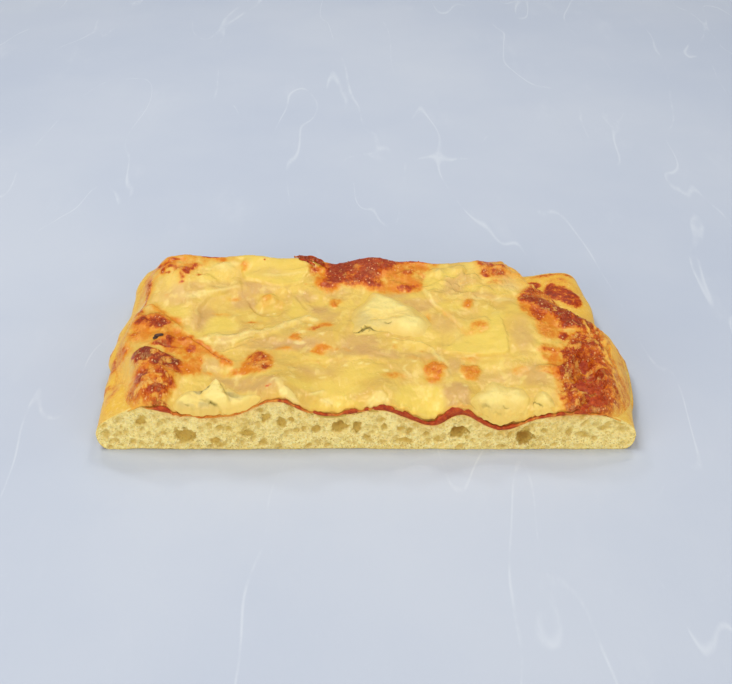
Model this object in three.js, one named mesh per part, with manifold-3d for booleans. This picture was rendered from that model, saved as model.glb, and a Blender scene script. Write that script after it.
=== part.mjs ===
// A rectangular slice of four-cheese pizza, cut across a long strip that was baked in a tray.
// A bread base with a rounded rim at its left and right end and a straight cut at its front and
// back carries a thin coat of tomato sauce, a layer of melted cheese and four lumps of blue cheese.
// Millimetres, +Z up. The origin is on the resting surface, under the middle of the slice.
// +X runs from the left rim to the right rim, +Y from the front cut to the back cut.
import * as THREE from "three";
import { mergeVertices } from "three/addons/utils/BufferGeometryUtils.js";
import Module from "manifold-3d";

const wasm = await Module();
wasm.setup();

// Driving dimensions.
const sliceLength = 200; // rim to rim, at the front cut
const sliceDepth = 107; // front cut to back cut
const doughHeight = 15; // bread base, away from its swells and hollows
const sauceCoat = 0.9;
const cheeseCoat = 3.1;
const layerGap = 0.3; // clearance between neighbouring layers
const frontCut = -sliceDepth / 2;
const backCut = sliceDepth / 2;

// Each rim bows out in the middle and draws in towards its back corner: by how much, where and
// over what stretch of y.
const rimBow = { by: 3.4, left: { at: -4, reach: 34 }, right: { at: -16, reach: 24 } };
const backCorner = {
  left: { by: 3, from: 40, over: 16 },
  right: { by: 6, from: -8, over: 62 },
};
// The rim's section: the low and high end of its upright wall, and how far in from the wall the
// rounds under and over it reach.
const rim = { wallFoot: 6.1, wallHead: 7.3, under: 4.5, overLeft: 15, overRight: 18 };

// Grids of columns and rows across the slice. The layers that lie on each other share one.
const layerGrid = { columns: 42, rows: 15 };
const reliefGrid = { columns: 58, rows: 26 };
const cutGrid = { columns: 1, rows: 1 };
const edgeCrowding = 0.075; // how much closer the lines of a grid stand at its ends
const trim = { floor: -5, ceiling: 45 }; // solids that only trim others run from below to above

// Swells and hollows of the baked dough: centre x, y, reach along x, y, and rise.
const doughSwells = [
  [-82, -50, 11, 30, 4.2],
  [-33.5, -53, 11, 26, 7.5],
  [4, -53, 10, 24, 3],
  [35, -53, 6, 14, 2.2],
  [83, -50, 12, 30, 1.6],
  [-78, 50, 13, 24, 5],
  [-50, 54, 17, 20, 5.3],
  [-27, 56, 9, 14, 3],
  [4, 52, 9, 16, 3.4],
  [21, 52, 7, 14, 2],
  [46, 48, 10, 22, 1.4],
  [84, 52, 10, 20, 2.2],
  [-18, -8, 24, 16, 1.6],
  [62, -2, 20, 22, 1.2],
];
const doughHollows = [
  [24, -53, 8, 16, -4],
  [50, -53, 10, 18, -6],
  [70, 50, 7, 18, -2],
  [-44, 14, 20, 16, -1.6],
];

// What the cheese keeps of the dough's swells and hollows as it melts level.
const swellKept = 0.94;
const hollowKept = 0.45;

// Blistered and folded places of the melted cheese: centre x, y, reach along x, y, and rise.
const cheeseBlisters = [
  [-79, -19, 9, 8, 3.2],
  [-66, -22, 7, 9, 1.4],
  [-78, -42, 10, 9, 2.2],
  [-84, 7, 8, 7, 2.6],
  [-96, -13, 5, 6, 2.4],
  [-94, 38, 6, 9, 1.6],
  [-58, 12, 12, 11, 1.8],
  [52, 44, 21, 15, 3],
  [46, 8, 9, 7, 1.6],
  [78, -29, 7, 8, 2],
  [76, -46, 6, 6, 1.6],
  [74, 27, 10, 6, 2],
  [86, 10, 9, 9, 2.2],
  [93, -16, 8, 16, 1.4],
  [-42, -22, 5, 5, 1],
  [26, -27, 5, 5, 0.9],
  [39, -29, 4, 4, 0.9],
];
// Melted slices that still stand proud: lowest and highest x and y, and rise.
const cheeseSlices = [
  { x: [27, 59], y: [-14, 14], rise: 1.9 },
  { x: [-56, -24], y: [30, 50], rise: 1.4 },
];
const sliceEdge = 3; // the width over which a slice's edge melts down
// A round sag with a small mound in it, in the left half of the cheese.
const sag = { x: -42, y: 21, reach: 10, depth: 2.2, moundReach: 3.3, moundRise: 1.8 };

// How thin the cheese is at its outline, and the width over which it gets there.
const cheeseLip = { thickness: 1, width: 8 };
// It also rolls down over the front cut to that thickness, and over the back cut a little.
const cutRoll = { frontWidth: 9, backWidth: 2.5, backShare: 0.4 };
// Outlines of the cheese and the sauce, as points that a smooth closed line passes through.
// They run past the two cuts, where the cuts trim them.
const cheeseOutline = [
  [-80, -64], [-88, -46], [-92, -28], [-99, -14], [-93, -2], [-92, 14], [-97, 34], [-95, 50],
  [-88, 66], [-10, 70], [62, 66], [71, 42], [83, 24], [90, 10], [100, -2], [102, -16],
  [100, -34], [95, -48], [86, -64], [0, -70],
];
const sauceOutline = [
  [-72, -64], [-80, -36], [-84, 0], [-86, 30], [-82, 66], [-10, 70], [56, 66], [66, 38],
  [80, 14], [92, -6], [95, -30], [91, -48], [84, -64], [0, -70],
];
// A bare patch at the right, where the cheese has parted and the sauce shows.
const barePatch = [[82, -51], [88, -47], [90, -36], [86, -22], [81, -20], [82, -32], [77, -41]];

// Lumps of blue cheese: centre x, y, half sizes, turn and the direction of one corner in degrees.
const blueCheeses = [
  { name: "blue_cheese_left", at: [-57, -46], half: [17, 10.5, 4.4], turn: 4, corner: 90 },
  { name: "blue_cheese_centre", at: [10, 9], half: [18, 12.5, 4.8], turn: -28, corner: 15 },
  { name: "blue_cheese_right", at: [49, -46.5], half: [12.5, 9.5, 4.6], turn: 6, corner: 0 },
  { name: "blue_cheese_small", at: [67, -45.5], half: [6, 7, 3.4], turn: -12, corner: 60 },
];
const lumpForm = { around: 20, down: 11, corners: 0.12, knobs: 0.05, flatTop: 0.7 };
// A lump has pressed a dish into the cheese, whose wall takes up this share of its half size.
const dish = { depth: 1.2, wallShare: 0.33, sunk: 0.5 };

// Bubbles of the crumb that the front cut opens: centre x, z and half sizes.
const frontBubbles = [
  [-83, 12.8, 2.8, 2], [-67.5, 6.3, 4.3, 3.2], [-43.9, 7.3, 3, 1.9], [-37.3, 15, 1.8, 1.8],
  [-31.3, 12.4, 1.8, 2.3], [-18.4, 9, 2.1, 1.9], [-9.8, 10.3, 3, 2.2], [-3.3, 10.3, 1.9, 2.7],
  [13, 9.2, 1.8, 1.3], [15, 4.4, 1.5, 1.4], [34.3, 8.6, 3.1, 3.2], [58.9, 5.2, 3.2, 2.5],
  [75.3, 8.3, 1.7, 2.1], [88.5, 9.2, 2.6, 1.4], [-96, 7, 2, 2.2], [-56.3, 4.2, 1.9, 1.6],
];
const scatteredBubbles = { perCut: 15, smallest: 1, largest: 2.1, stretch: 1.2, seed: 11 };
const crust = 1.2; // the least bread left under and over a bubble
const roundBubble = 1.7; // a bubble with a larger half size gets more facets

const clamp01 = (t) => Math.min(1, Math.max(0, t));
const smooth = (t) => clamp01(t) ** 2 * (3 - 2 * clamp01(t));
const roundOff = (t) => Math.sqrt(1 - (1 - clamp01(t)) ** 2);

const bell = (t) => Math.exp(-(t ** 2));

// The sum of soft bells at a place: swells, hollows or blisters.
function relief(bells, x, y) {
  return bells.reduce(
    (sum, [cx, cy, reachX, reachY, rise]) =>
      sum + rise * bell((x - cx) / reachX) * bell((y - cy) / reachY),
    0,
  );
}

// How far a rim stands out past half the slice's length.
function rimReach(y, bow, corner) {
  const bowed = rimBow.by * bell((y - bow.at) / bow.reach);
  return bowed - corner.by * smooth((y - corner.from) / corner.over);
}
const leftEdge = (y) => -sliceLength / 2 - rimReach(y, rimBow.left, backCorner.left);
const rightEdge = (y) => sliceLength / 2 + rimReach(y, rimBow.right, backCorner.right);

// A height over the middle of the slice, rounded down to the rims' walls.
function roundedAtRims(x, y, height) {
  const share = Math.min(
    roundOff((x - leftEdge(y)) / rim.overLeft),
    roundOff((rightEdge(y) - x) / rim.overRight),
  );
  return rim.wallHead + (height - rim.wallHead) * share;
}

function doughTop(x, y) {
  const baked = doughHeight + relief(doughSwells, x, y) + relief(doughHollows, x, y);
  return roundedAtRims(x, y, baked);
}

function doughUnderside(x, y) {
  const inward = Math.min(x - leftEdge(y), rightEdge(y) - x);
  return rim.wallFoot * (1 - roundOff(inward / rim.under));
}

const sauceUnderside = (x, y) => doughTop(x, y) + layerGap;
const sauceTop = (x, y) => sauceUnderside(x, y) + sauceCoat;
const cheeseUnderside = (x, y) => sauceTop(x, y) + layerGap;

// A smooth closed line through an outline's points, as points close together.
function smoothLine(points) {
  const curve = new THREE.CatmullRomCurve3(
    points.map(([x, y]) => new THREE.Vector3(x, y, 0)),
    true,
  );
  const steps = 4 * points.length; // four short stretches for each point
  return curve.getSpacedPoints(steps).slice(0, -1).map((p) => new THREE.Vector2(p.x, p.y));
}
const cheeseLine = smoothLine(cheeseOutline);
const sauceLine = smoothLine(sauceOutline);
const patchLine = smoothLine(barePatch);

function distanceTo(line, x, y) {
  return Math.min(...line.map((p) => Math.hypot(p.x - x, p.y - y)));
}

// A melted slice as a plateau with soft edges.
function plateau(x, y, slice) {
  const inward = Math.min(
    x - slice.x[0], slice.x[1] - x, y - slice.y[0], slice.y[1] - y,
  );
  return slice.rise * smooth(inward / sliceEdge);
}

function sagHeight(x, y) {
  const away = Math.hypot(x - sag.x, y - sag.y);
  return sag.moundRise * bell(away / sag.moundReach) - sag.depth * bell(away / sag.reach);
}

// How deep the dish of a lump is at a place.
function dishUnder(x, y, { at, half, turn }) {
  const local = new THREE.Vector2(x - at[0], y - at[1]);
  local.rotateAround(new THREE.Vector2(), -THREE.MathUtils.degToRad(turn));
  const inward = 1 - Math.hypot(local.x / half[0], local.y / half[1]);
  return dish.depth * smooth(inward / dish.wallShare);
}

// The cheese at its full thickness, levelled over the bread's swells and hollows.
function fullCheese(x, y) {
  const kept =
    swellKept * relief(doughSwells, x, y) + hollowKept * relief(doughHollows, x, y);
  return (
    roundedAtRims(x, y, doughHeight + kept) +
    sauceCoat +
    2 * layerGap +
    cheeseCoat +
    relief(cheeseBlisters, x, y) +
    Math.max(...cheeseSlices.map((slice) => plateau(x, y, slice))) +
    sagHeight(x, y) -
    Math.max(...blueCheeses.map((lump) => dishUnder(x, y, lump)))
  );
}

function cheeseTop(x, y) {
  const lip = cheeseUnderside(x, y) + cheeseLip.thickness;
  const fromEdge = Math.min(distanceTo(cheeseLine, x, y), distanceTo(patchLine, x, y));
  const backRoll = roundOff((backCut - y) / cutRoll.backWidth);
  const share =
    roundOff(fromEdge / cheeseLip.width) *
    roundOff((y - frontCut) / cutRoll.frontWidth) *
    (1 - cutRoll.backShare * (1 - backRoll));
  return lip + Math.max(0, fullCheese(x, y) - lip) * share;
}

// A closed sheet between two height functions, on a grid stretched to the plan of the slice.
function sheet(lower, upper, { columns, rows }) {
  const across = columns + 1;
  const layerSize = across * (rows + 1);
  const position = new Float32Array(layerSize * 6);
  const crowded = (share) => share - edgeCrowding * Math.sin(2 * Math.PI * share);
  for (let row = 0; row <= rows; row++) {
    const y = frontCut + sliceDepth * crowded(row / rows);
    for (let column = 0; column <= columns; column++) {
      const x = leftEdge(y) + (rightEdge(y) - leftEdge(y)) * crowded(column / columns);
      const vertex = row * across + column;
      position.set([x, y, upper(x, y)], vertex * 3);
      position.set([x, y, lower(x, y)], (vertex + layerSize) * 3);
    }
  }
  const index = [];
  const quad = (a, b, c, d) => index.push(a, b, c, a, c, d);
  for (let row = 0; row < rows; row++) {
    for (let column = 0; column < columns; column++) {
      const a = row * across + column;
      const [b, c, d] = [a + 1, a + 1 + across, a + across];
      quad(a, b, c, d);
      quad(a + layerSize, d + layerSize, c + layerSize, b + layerSize);
    }
  }
  const wall = (a, b) => quad(b, a, a + layerSize, b + layerSize);
  for (let column = 0; column < columns; column++) {
    wall(column, column + 1);
    wall(rows * across + column + 1, rows * across + column);
  }
  for (let row = 0; row < rows; row++) {
    wall((row + 1) * across, row * across);
    wall(row * across + columns, (row + 1) * across + columns);
  }
  const geometry = new THREE.BufferGeometry();
  geometry.setAttribute("position", new THREE.BufferAttribute(position, 3));
  geometry.setIndex(index);
  return solidFrom(geometry);
}

// A closed geometry as a manifold-3d solid, and back.
function solidFrom(geometry) {
  geometry.deleteAttribute("normal");
  geometry.deleteAttribute("uv");
  const merged = mergeVertices(geometry);
  return new wasm.Manifold(
    new wasm.Mesh({
      numProp: 3,
      vertProperties: merged.attributes.position.array,
      triVerts: new Uint32Array(merged.index.array),
    }),
  );
}

function geometryFrom(solid) {
  const { vertProperties, triVerts } = solid.getMesh();
  const geometry = new THREE.BufferGeometry();
  geometry.setAttribute("position", new THREE.BufferAttribute(vertProperties, 3));
  geometry.setIndex(new THREE.BufferAttribute(triVerts, 1));
  geometry.computeVertexNormals();
  return geometry;
}

// An upright prism over a closed line, tall enough to trim any layer.
function prism(line) {
  const geometry = new THREE.ExtrudeGeometry(new THREE.Shape(line), {
    depth: trim.ceiling - 2 * trim.floor,
    bevelEnabled: false,
  });
  geometry.translate(0, 0, 2 * trim.floor);
  return solidFrom(geometry);
}

// A flattened ball with three soft corners and a few knobs round its plan.
function ballOfCheese({ at, half, turn, corner }) {
  const geometry = new THREE.SphereGeometry(1, lumpForm.around, lumpForm.down);
  geometry.rotateX(Math.PI / 2);
  const position = geometry.attributes.position;
  for (let i = 0; i < position.count; i++) {
    const [px, py, pz] = [position.getX(i), position.getY(i), position.getZ(i)];
    const angle = Math.atan2(py, px);
    const corners = Math.cos(3 * (angle - THREE.MathUtils.degToRad(corner)));
    const uneven = 1 + lumpForm.corners * corners + lumpForm.knobs * Math.cos(5 * angle);
    const flattened = Math.sign(pz) * Math.abs(pz) ** lumpForm.flatTop;
    position.setXYZ(i, px * uneven, py * uneven, flattened);
  }
  geometry.scale(...half);
  geometry.rotateZ(THREE.MathUtils.degToRad(turn));
  geometry.translate(at[0], at[1], cheeseTop(...at) - dish.sunk);
  return solidFrom(geometry);
}

// A seeded draw of numbers from 0 to 1.
function drawFrom(seed) {
  let state = seed;
  return () => {
    state = (state * 1664525 + 1013904223) % 4294967296;
    return state / 4294967296;
  };
}

// An egg-shaped hole in the crumb, turned by its own place so that no two look alike.
function bubble(x, y, z, halfX, halfY, halfZ) {
  const detail = Math.max(halfX, halfZ) > roundBubble ? 1 : 0;
  const geometry = new THREE.IcosahedronGeometry(1, detail);
  geometry.rotateZ(x).rotateX(z);
  geometry.scale(halfX, halfY, halfZ);
  geometry.translate(x, y, z);
  return solidFrom(geometry);
}

// Small bubbles spread evenly along a cut, clear of the bread's top and underside.
function scatterBubbles(cut, draw) {
  const { perCut, smallest, largest, stretch } = scatteredBubbles;
  const reach = sliceLength / 2 - (rim.overLeft + rim.overRight) / 4;
  return Array.from({ length: perCut }, (_, i) => {
    const x = -reach + (2 * reach * (i + draw())) / perCut;
    const radius = smallest + (largest - smallest) * draw() ** 2;
    const headroom = doughTop(x, cut) - 2 * (radius + crust);
    return bubble(x, cut, crust + radius + headroom * draw(), radius * stretch, radius, radius);
  });
}

function makeDough() {
  const draw = drawFrom(scatteredBubbles.seed);
  const opened = frontBubbles.map(([x, z, halfX, halfZ]) =>
    bubble(x, frontCut, z, halfX, (halfX + halfZ) / 2, halfZ),
  );
  const bubbles = [
    ...opened,
    ...scatterBubbles(frontCut, draw),
    ...scatterBubbles(backCut, draw),
  ];
  return bubbles.reduce(
    (bread, hole) => bread.subtract(hole),
    sheet(doughUnderside, doughTop, layerGrid),
  );
}

function makeSauce() {
  return sheet(sauceUnderside, sauceTop, layerGrid).intersect(prism(sauceLine));
}

function makeCheese() {
  const below = sheet(() => trim.floor - 1, cheeseUnderside, layerGrid);
  return sheet(() => trim.floor, cheeseTop, reliefGrid)
    .subtract(below)
    .intersect(prism(cheeseLine))
    .subtract(prism(patchLine));
}

function makeLump(lump) {
  const below = sheet(() => trim.floor, (x, y) => cheeseTop(x, y) + layerGap, reliefGrid);
  const betweenCuts = sheet(() => trim.floor, () => trim.ceiling, cutGrid);
  return ballOfCheese(lump).intersect(betweenCuts).subtract(below);
}

function addPiece(name, solid, colour, roughness) {
  const material = new THREE.MeshStandardMaterial({ color: colour, roughness, metalness: 0 });
  const mesh = new THREE.Mesh(geometryFrom(solid), material);
  mesh.name = name;
  slice.add(mesh);
}

const slice = new THREE.Group();
addPiece("dough_base", makeDough(), 0xe6d193, 0.85);
addPiece("tomato_sauce", makeSauce(), 0xa83a1c, 0.35);
addPiece("melted_cheese", makeCheese(), 0xe8cb70, 0.4);
for (const lump of blueCheeses) addPiece(lump.name, makeLump(lump), 0xf3e394, 0.45);

export default slice;
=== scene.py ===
import math
import bmesh
import bpy
import numpy as np
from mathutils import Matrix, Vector


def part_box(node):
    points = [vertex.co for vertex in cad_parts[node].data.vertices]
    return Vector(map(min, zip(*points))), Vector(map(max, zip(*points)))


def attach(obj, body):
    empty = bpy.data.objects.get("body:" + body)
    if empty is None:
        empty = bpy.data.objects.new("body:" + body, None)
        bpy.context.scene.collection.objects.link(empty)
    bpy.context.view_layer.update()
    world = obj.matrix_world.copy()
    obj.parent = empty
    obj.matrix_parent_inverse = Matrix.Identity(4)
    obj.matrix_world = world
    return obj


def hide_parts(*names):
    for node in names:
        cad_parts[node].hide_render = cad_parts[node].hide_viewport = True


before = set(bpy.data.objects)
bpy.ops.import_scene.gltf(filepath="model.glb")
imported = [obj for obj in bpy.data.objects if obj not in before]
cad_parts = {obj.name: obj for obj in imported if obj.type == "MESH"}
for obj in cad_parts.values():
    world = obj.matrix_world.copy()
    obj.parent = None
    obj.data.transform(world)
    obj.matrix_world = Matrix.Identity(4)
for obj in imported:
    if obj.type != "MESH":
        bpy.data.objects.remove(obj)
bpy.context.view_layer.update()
mm = 0.001
breadLow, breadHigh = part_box("dough_base")
frontCut, backCut = breadLow.y / mm, breadHigh.y / mm  # shapes are in millimetres, makeMesh scales them
print("pizza slice: packed model loaded")


# Curves and noise that every layer shares.

def clamped(t):
    return np.clip(t, 0.0, 1.0)


def softStep(t):
    t = clamped(t)
    return t * t * (3 - 2 * t)


def roundOff(t):
    return np.sqrt(1 - (1 - clamped(t)) ** 2)


def bell(t):
    return np.exp(-t * t)


def turned(x, y, degrees):
    c, s = math.cos(math.radians(degrees)), math.sin(math.radians(degrees))
    return c * x + s * y, c * y - s * x


def softNoise(x, y, size, seed, octaves=3):  # -1 to 1, with blobs about as wide as size
    total, weight = np.zeros(np.shape(x)), 0.0
    for octave in range(octaves):
        lattice = np.random.default_rng(97 * seed + octave).uniform(-1, 1, (64, 64))
        u = x / size * 2 ** octave + 17.31 * octave
        v = y / size * 2 ** octave + 5.17 * octave
        i, j = np.floor(u).astype(int), np.floor(v).astype(int)
        a, b = u - i, v - j
        a, b = a * a * (3 - 2 * a), b * b * (3 - 2 * b)
        i, j, nextI, nextJ = i % 64, j % 64, (i + 1) % 64, (j + 1) % 64
        near = lattice[i, j] * (1 - a) + lattice[nextI, j] * a
        far = lattice[i, nextJ] * (1 - a) + lattice[nextI, nextJ] * a
        total = total + (near * (1 - b) + far * b) * 0.5 ** octave
        weight += 0.5 ** octave
    return total / weight * 1.6


def pebbles(x, y, size, seed):  # rounded grains side by side: their height, and a number for each
    lattice = np.random.default_rng(seed).uniform(0.08, 0.92, (64, 64, 3))
    u, v = x / size, y / size
    i, j = np.floor(u).astype(int), np.floor(v).astype(int)
    nearest, number = np.full(np.shape(x), 9.0), np.zeros(np.shape(x))
    for di in (-1, 0, 1):
        for dj in (-1, 0, 1):
            spot = lattice[(i + di) % 64, (j + dj) % 64]
            away = np.hypot(i + di + spot[..., 0] - u, j + dj + spot[..., 1] - v)
            number = np.where(away < nearest, spot[..., 2], number)
            nearest = np.minimum(nearest, away)
    return np.sqrt(clamped(1 - (nearest / 0.78) ** 2)), number


def smoothLine(points, closed=False, steps=8):  # Catmull-Rom line through given points
    p = np.array(points, float)
    p = np.vstack([p[-1:], p, p[:2]]) if closed else np.vstack([2 * p[0] - p[1], p, 2 * p[-1] - p[-2]])
    t = np.linspace(0, 1, steps, endpoint=False)[:, None]
    line = []
    for a, b, c, d in zip(p[:-3], p[1:-2], p[2:-1], p[3:]):
        curve = 2 * b + (c - a) * t + (2 * a - 5 * b + 4 * c - d) * t ** 2
        line.append(0.5 * (curve + (3 * b - a - 3 * c + d) * t ** 3))
    return np.vstack(line + [p[-2:-1]])


def lineDistance(line, x, y):  # distance to a line, and how far along it the nearest place is
    best, along = np.full(np.shape(x), 1e9), np.zeros(np.shape(x))
    count = len(line) - 1
    for k in range(count):
        start, step = line[k], line[k + 1] - line[k]
        length2 = max(float(step @ step), 1e-9)
        t = clamped(((x - start[0]) * step[0] + (y - start[1]) * step[1]) / length2)
        away = np.hypot(x - start[0] - t * step[0], y - start[1] - t * step[1])
        along = np.where(away < best, (k + t) / count, along)
        best = np.minimum(best, away)
    return best, along


def insideDistance(line, x, y):  # positive inside a closed line, negative outside
    inside = np.zeros(np.shape(x), bool)
    for (ax, ay), (bx, by) in zip(line[:-1], line[1:]):
        if ay != by:
            crosses = ((ay > y) != (by > y)) & (x < (bx - ax) * (y - ay) / (by - ay) + ax)
            inside ^= crosses
    away, _ = lineDistance(line, x, y)
    return np.where(inside, away, -away)


def sideDistance(line, x, y):  # distance to a line: positive on its left, negative on its right
    best, signed, along = np.full(np.shape(x), 1e9), np.zeros(np.shape(x)), np.zeros(np.shape(x))
    count = len(line) - 1
    for k in range(count):
        start, step = line[k], line[k + 1] - line[k]
        px, py = x - start[0], y - start[1]
        t = clamped((px * step[0] + py * step[1]) / max(float(step @ step), 1e-9))
        away = np.hypot(px - t * step[0], py - t * step[1])
        closer = away < best
        side = np.sign(step[0] * py - step[1] * px)
        signed, along = np.where(closer, side * away, signed), np.where(closer, (k + t) / count, along)
        best = np.where(closer, away, best)
    return signed, along


def near(line, x, y, margin):  # a mask of the places worth working out, to save time
    return (
        (x > line[:, 0].min() - margin) & (x < line[:, 0].max() + margin)
        & (y > line[:, 1].min() - margin) & (y < line[:, 1].max() + margin)
    )


def spanned(left, right, y, share):  # from one edge line to another, share by share
    return left(y) + (right(y) - left(y)) * share


def swellAt(swells, x, y):  # each swell: x, y, reach along x and y, rise
    return sum(r * bell((x - cx) / rx) * bell((y - cy) / ry) for cx, cy, rx, ry, r in swells)


# Turning grids into meshes.

def placed(name, data):
    thing = bpy.data.objects.new(name, data)
    bpy.context.collection.objects.link(thing)
    return thing


def asRows(x, y, z):  # three grids of coordinates as one list of vertices
    return np.stack([x, y, z], -1).reshape(-1, 3)


def makeMesh(name, vertices, faces, values):
    mesh = bpy.data.meshes.new(name)
    mesh.from_pydata((np.asarray(vertices, float) * mm).tolist(), [], [list(f) for f in faces])
    for label, numbers in values.items():
        layer = mesh.attributes.new(label, "FLOAT", "POINT")
        layer.data.foreach_set("value", np.asarray(numbers, np.float32).ravel())
    mesh.validate()
    shell = bmesh.new()
    shell.from_mesh(mesh)
    bmesh.ops.recalc_face_normals(shell, faces=shell.faces)
    loose = sum(1 for e in shell.edges if len(e.link_faces) != 2)
    shell.to_mesh(mesh)
    shell.free()
    if loose:
        print("pizza slice:", name, "has", loose, "open edges")
    mesh.update()
    mesh.polygons.foreach_set("use_smooth", np.full(len(mesh.polygons), True))
    return placed(name, mesh)


def gridFaces(index):  # quads over a table of vertex numbers, facing up for rising x and y
    a, b = index[:-1, :-1].ravel(), index[:-1, 1:].ravel()
    c, d = index[1:, 1:].ravel(), index[1:, :-1].ravel()
    return np.stack([a, b, c, d], 1).tolist()


def stitched(first, second):  # triangles between two rows of vertices that differ in number
    faces, i, j = [], 0, 0
    while i < len(first) - 1 or j < len(second) - 1:
        nextFirst = (i + 1) / max(len(first) - 1, 1)
        nextSecond = (j + 1) / max(len(second) - 1, 1)
        if j >= len(second) - 1 or (i < len(first) - 1 and nextFirst <= nextSecond):
            faces.append((first[i], first[i + 1], second[j]))
            i += 1
        else:
            faces.append((first[i], second[j + 1], second[j]))
            j += 1
    return faces


def finished(piece, material, slot, *nodes):  # the last step of every piece
    piece.data.materials.clear()
    piece.data.materials.append(material)
    if nodes:
        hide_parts(*nodes)
    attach(piece, "root")
    print("pizza slice:", piece.name, len(piece.data.polygons), "faces")


# Shader maths as Python expressions.

class Wire:
    def __init__(self, finish, socket):
        self.finish, self.socket = finish, socket

    def maths(self, operation, *values):
        node = self.finish.add("ShaderNodeMath", {"operation": operation}, dict(enumerate(values)))
        return Wire(self.finish, node.outputs[0])

    def __add__(self, other):
        return self.maths("ADD", self, other)

    def __radd__(self, other):
        return self.maths("ADD", other, self)

    def __sub__(self, other):
        return self.maths("SUBTRACT", self, other)

    def __rsub__(self, other):
        return self.maths("SUBTRACT", other, self)

    def __mul__(self, other):
        return self.maths("MULTIPLY", self, other)

    def __rmul__(self, other):
        return self.maths("MULTIPLY", other, self)

    def step(self, low, high):  # 0 below low, 1 above high, smooth between
        node = self.finish.add(
            "ShaderNodeMapRange", {"interpolation_type": "SMOOTHSTEP"},
            {"Value": self, "From Min": low, "From Max": high})
        return Wire(self.finish, node.outputs["Result"])

    def size(self):
        return self.maths("ABSOLUTE", self)


def fromScreen(red, green, blue):  # a colour as a screen shows it, as the shader's light
    def light(c):
        c = c / 255
        return c / 12.92 if c <= 0.04045 else ((c + 0.055) / 1.055) ** 2.4
    return (light(red), light(green), light(blue), 1.0)


class Finish:
    def __init__(self, name):
        self.material = bpy.data.materials.new(name)
        self.material.use_nodes = True
        self.tree = self.material.node_tree
        self.tree.nodes.clear()
        self.output = self.tree.nodes.new("ShaderNodeOutputMaterial")

    def add(self, kind, settings=None, sockets=None):
        node = self.tree.nodes.new(kind)
        for key, value in (settings or {}).items():
            if key == "stops":  # a ramp's places and colours
                ramp = node.color_ramp
                while len(ramp.elements) < len(value):
                    ramp.elements.new(0.5)
                for element, (place, colour) in zip(ramp.elements, value):
                    element.position, element.color = place, fromScreen(*colour)
            else:
                setattr(node, key, value)
        for key, value in (sockets or {}).items():
            found = node.inputs[key] if isinstance(key, int) else next(
                s for s in node.inputs if s.identifier == key or (s.name == key and s.enabled))
            if isinstance(value, Wire):
                self.tree.links.new(value.socket, found)
            else:
                found.default_value = value
        return node

    def attribute(self, name):
        node = self.add("ShaderNodeAttribute", {"attribute_name": name})
        return Wire(self, node.outputs["Fac"])

    def place(self, stretch=(1, 1, 1)):
        coordinates = self.add("ShaderNodeTexCoord")
        node = self.add("ShaderNodeMapping", None, {
            "Vector": Wire(self, coordinates.outputs["Object"]), "Scale": stretch})
        return Wire(self, node.outputs["Vector"])

    def noise(self, place, millimetres, detail=3.0, roughness=0.5, distortion=0.0):
        node = self.add("ShaderNodeTexNoise", None, {
            "Vector": place, "Scale": 1 / (millimetres * mm), "Detail": detail,
            "Roughness": roughness, "Distortion": distortion})
        return Wire(self, node.outputs["Fac"])

    def cells(self, place, millimetres, smoothness=0.4):
        node = self.add("ShaderNodeTexVoronoi", {"feature": "SMOOTH_F1"}, {
            "Vector": place, "Scale": 1 / (millimetres * mm), "Smoothness": smoothness})
        return Wire(self, node.outputs["Distance"])

    def mixed(self, share, first, second):  # a colour is a wire, or three numbers as a screen shows it
        first, second = (c if isinstance(c, Wire) else fromScreen(*c) for c in (first, second))
        node = self.add("ShaderNodeMix", {"data_type": "RGBA", "clamp_factor": True}, {
            "Factor_Float": share, "A_Color": first, "B_Color": second})
        return Wire(self, next(s for s in node.outputs if s.identifier == "Result_Color"))

    def over(self, base, *layers):  # each layer: how much of it shows, and its colour
        for share, colour in layers:
            base = self.mixed(share, base, colour)
        return base

    def ramp(self, value, stops):
        node = self.add("ShaderNodeValToRGB", {"stops": stops}, {"Fac": value})
        return Wire(self, node.outputs["Color"])

    def bump(self, height, millimetres):
        node = self.add("ShaderNodeBump", None, {
            "Height": height, "Distance": millimetres * mm, "Strength": 1.0})
        return Wire(self, node.outputs["Normal"])

    def shaded(self, **sockets):
        node = self.add("ShaderNodeBsdfPrincipled", None, {
            key.replace("_", " "): value for key, value in sockets.items()})
        self.tree.links.new(node.outputs["BSDF"], self.output.inputs["Surface"])
        return self.material


# The bread: its plan, its baked swells and its rounded rims.

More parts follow.
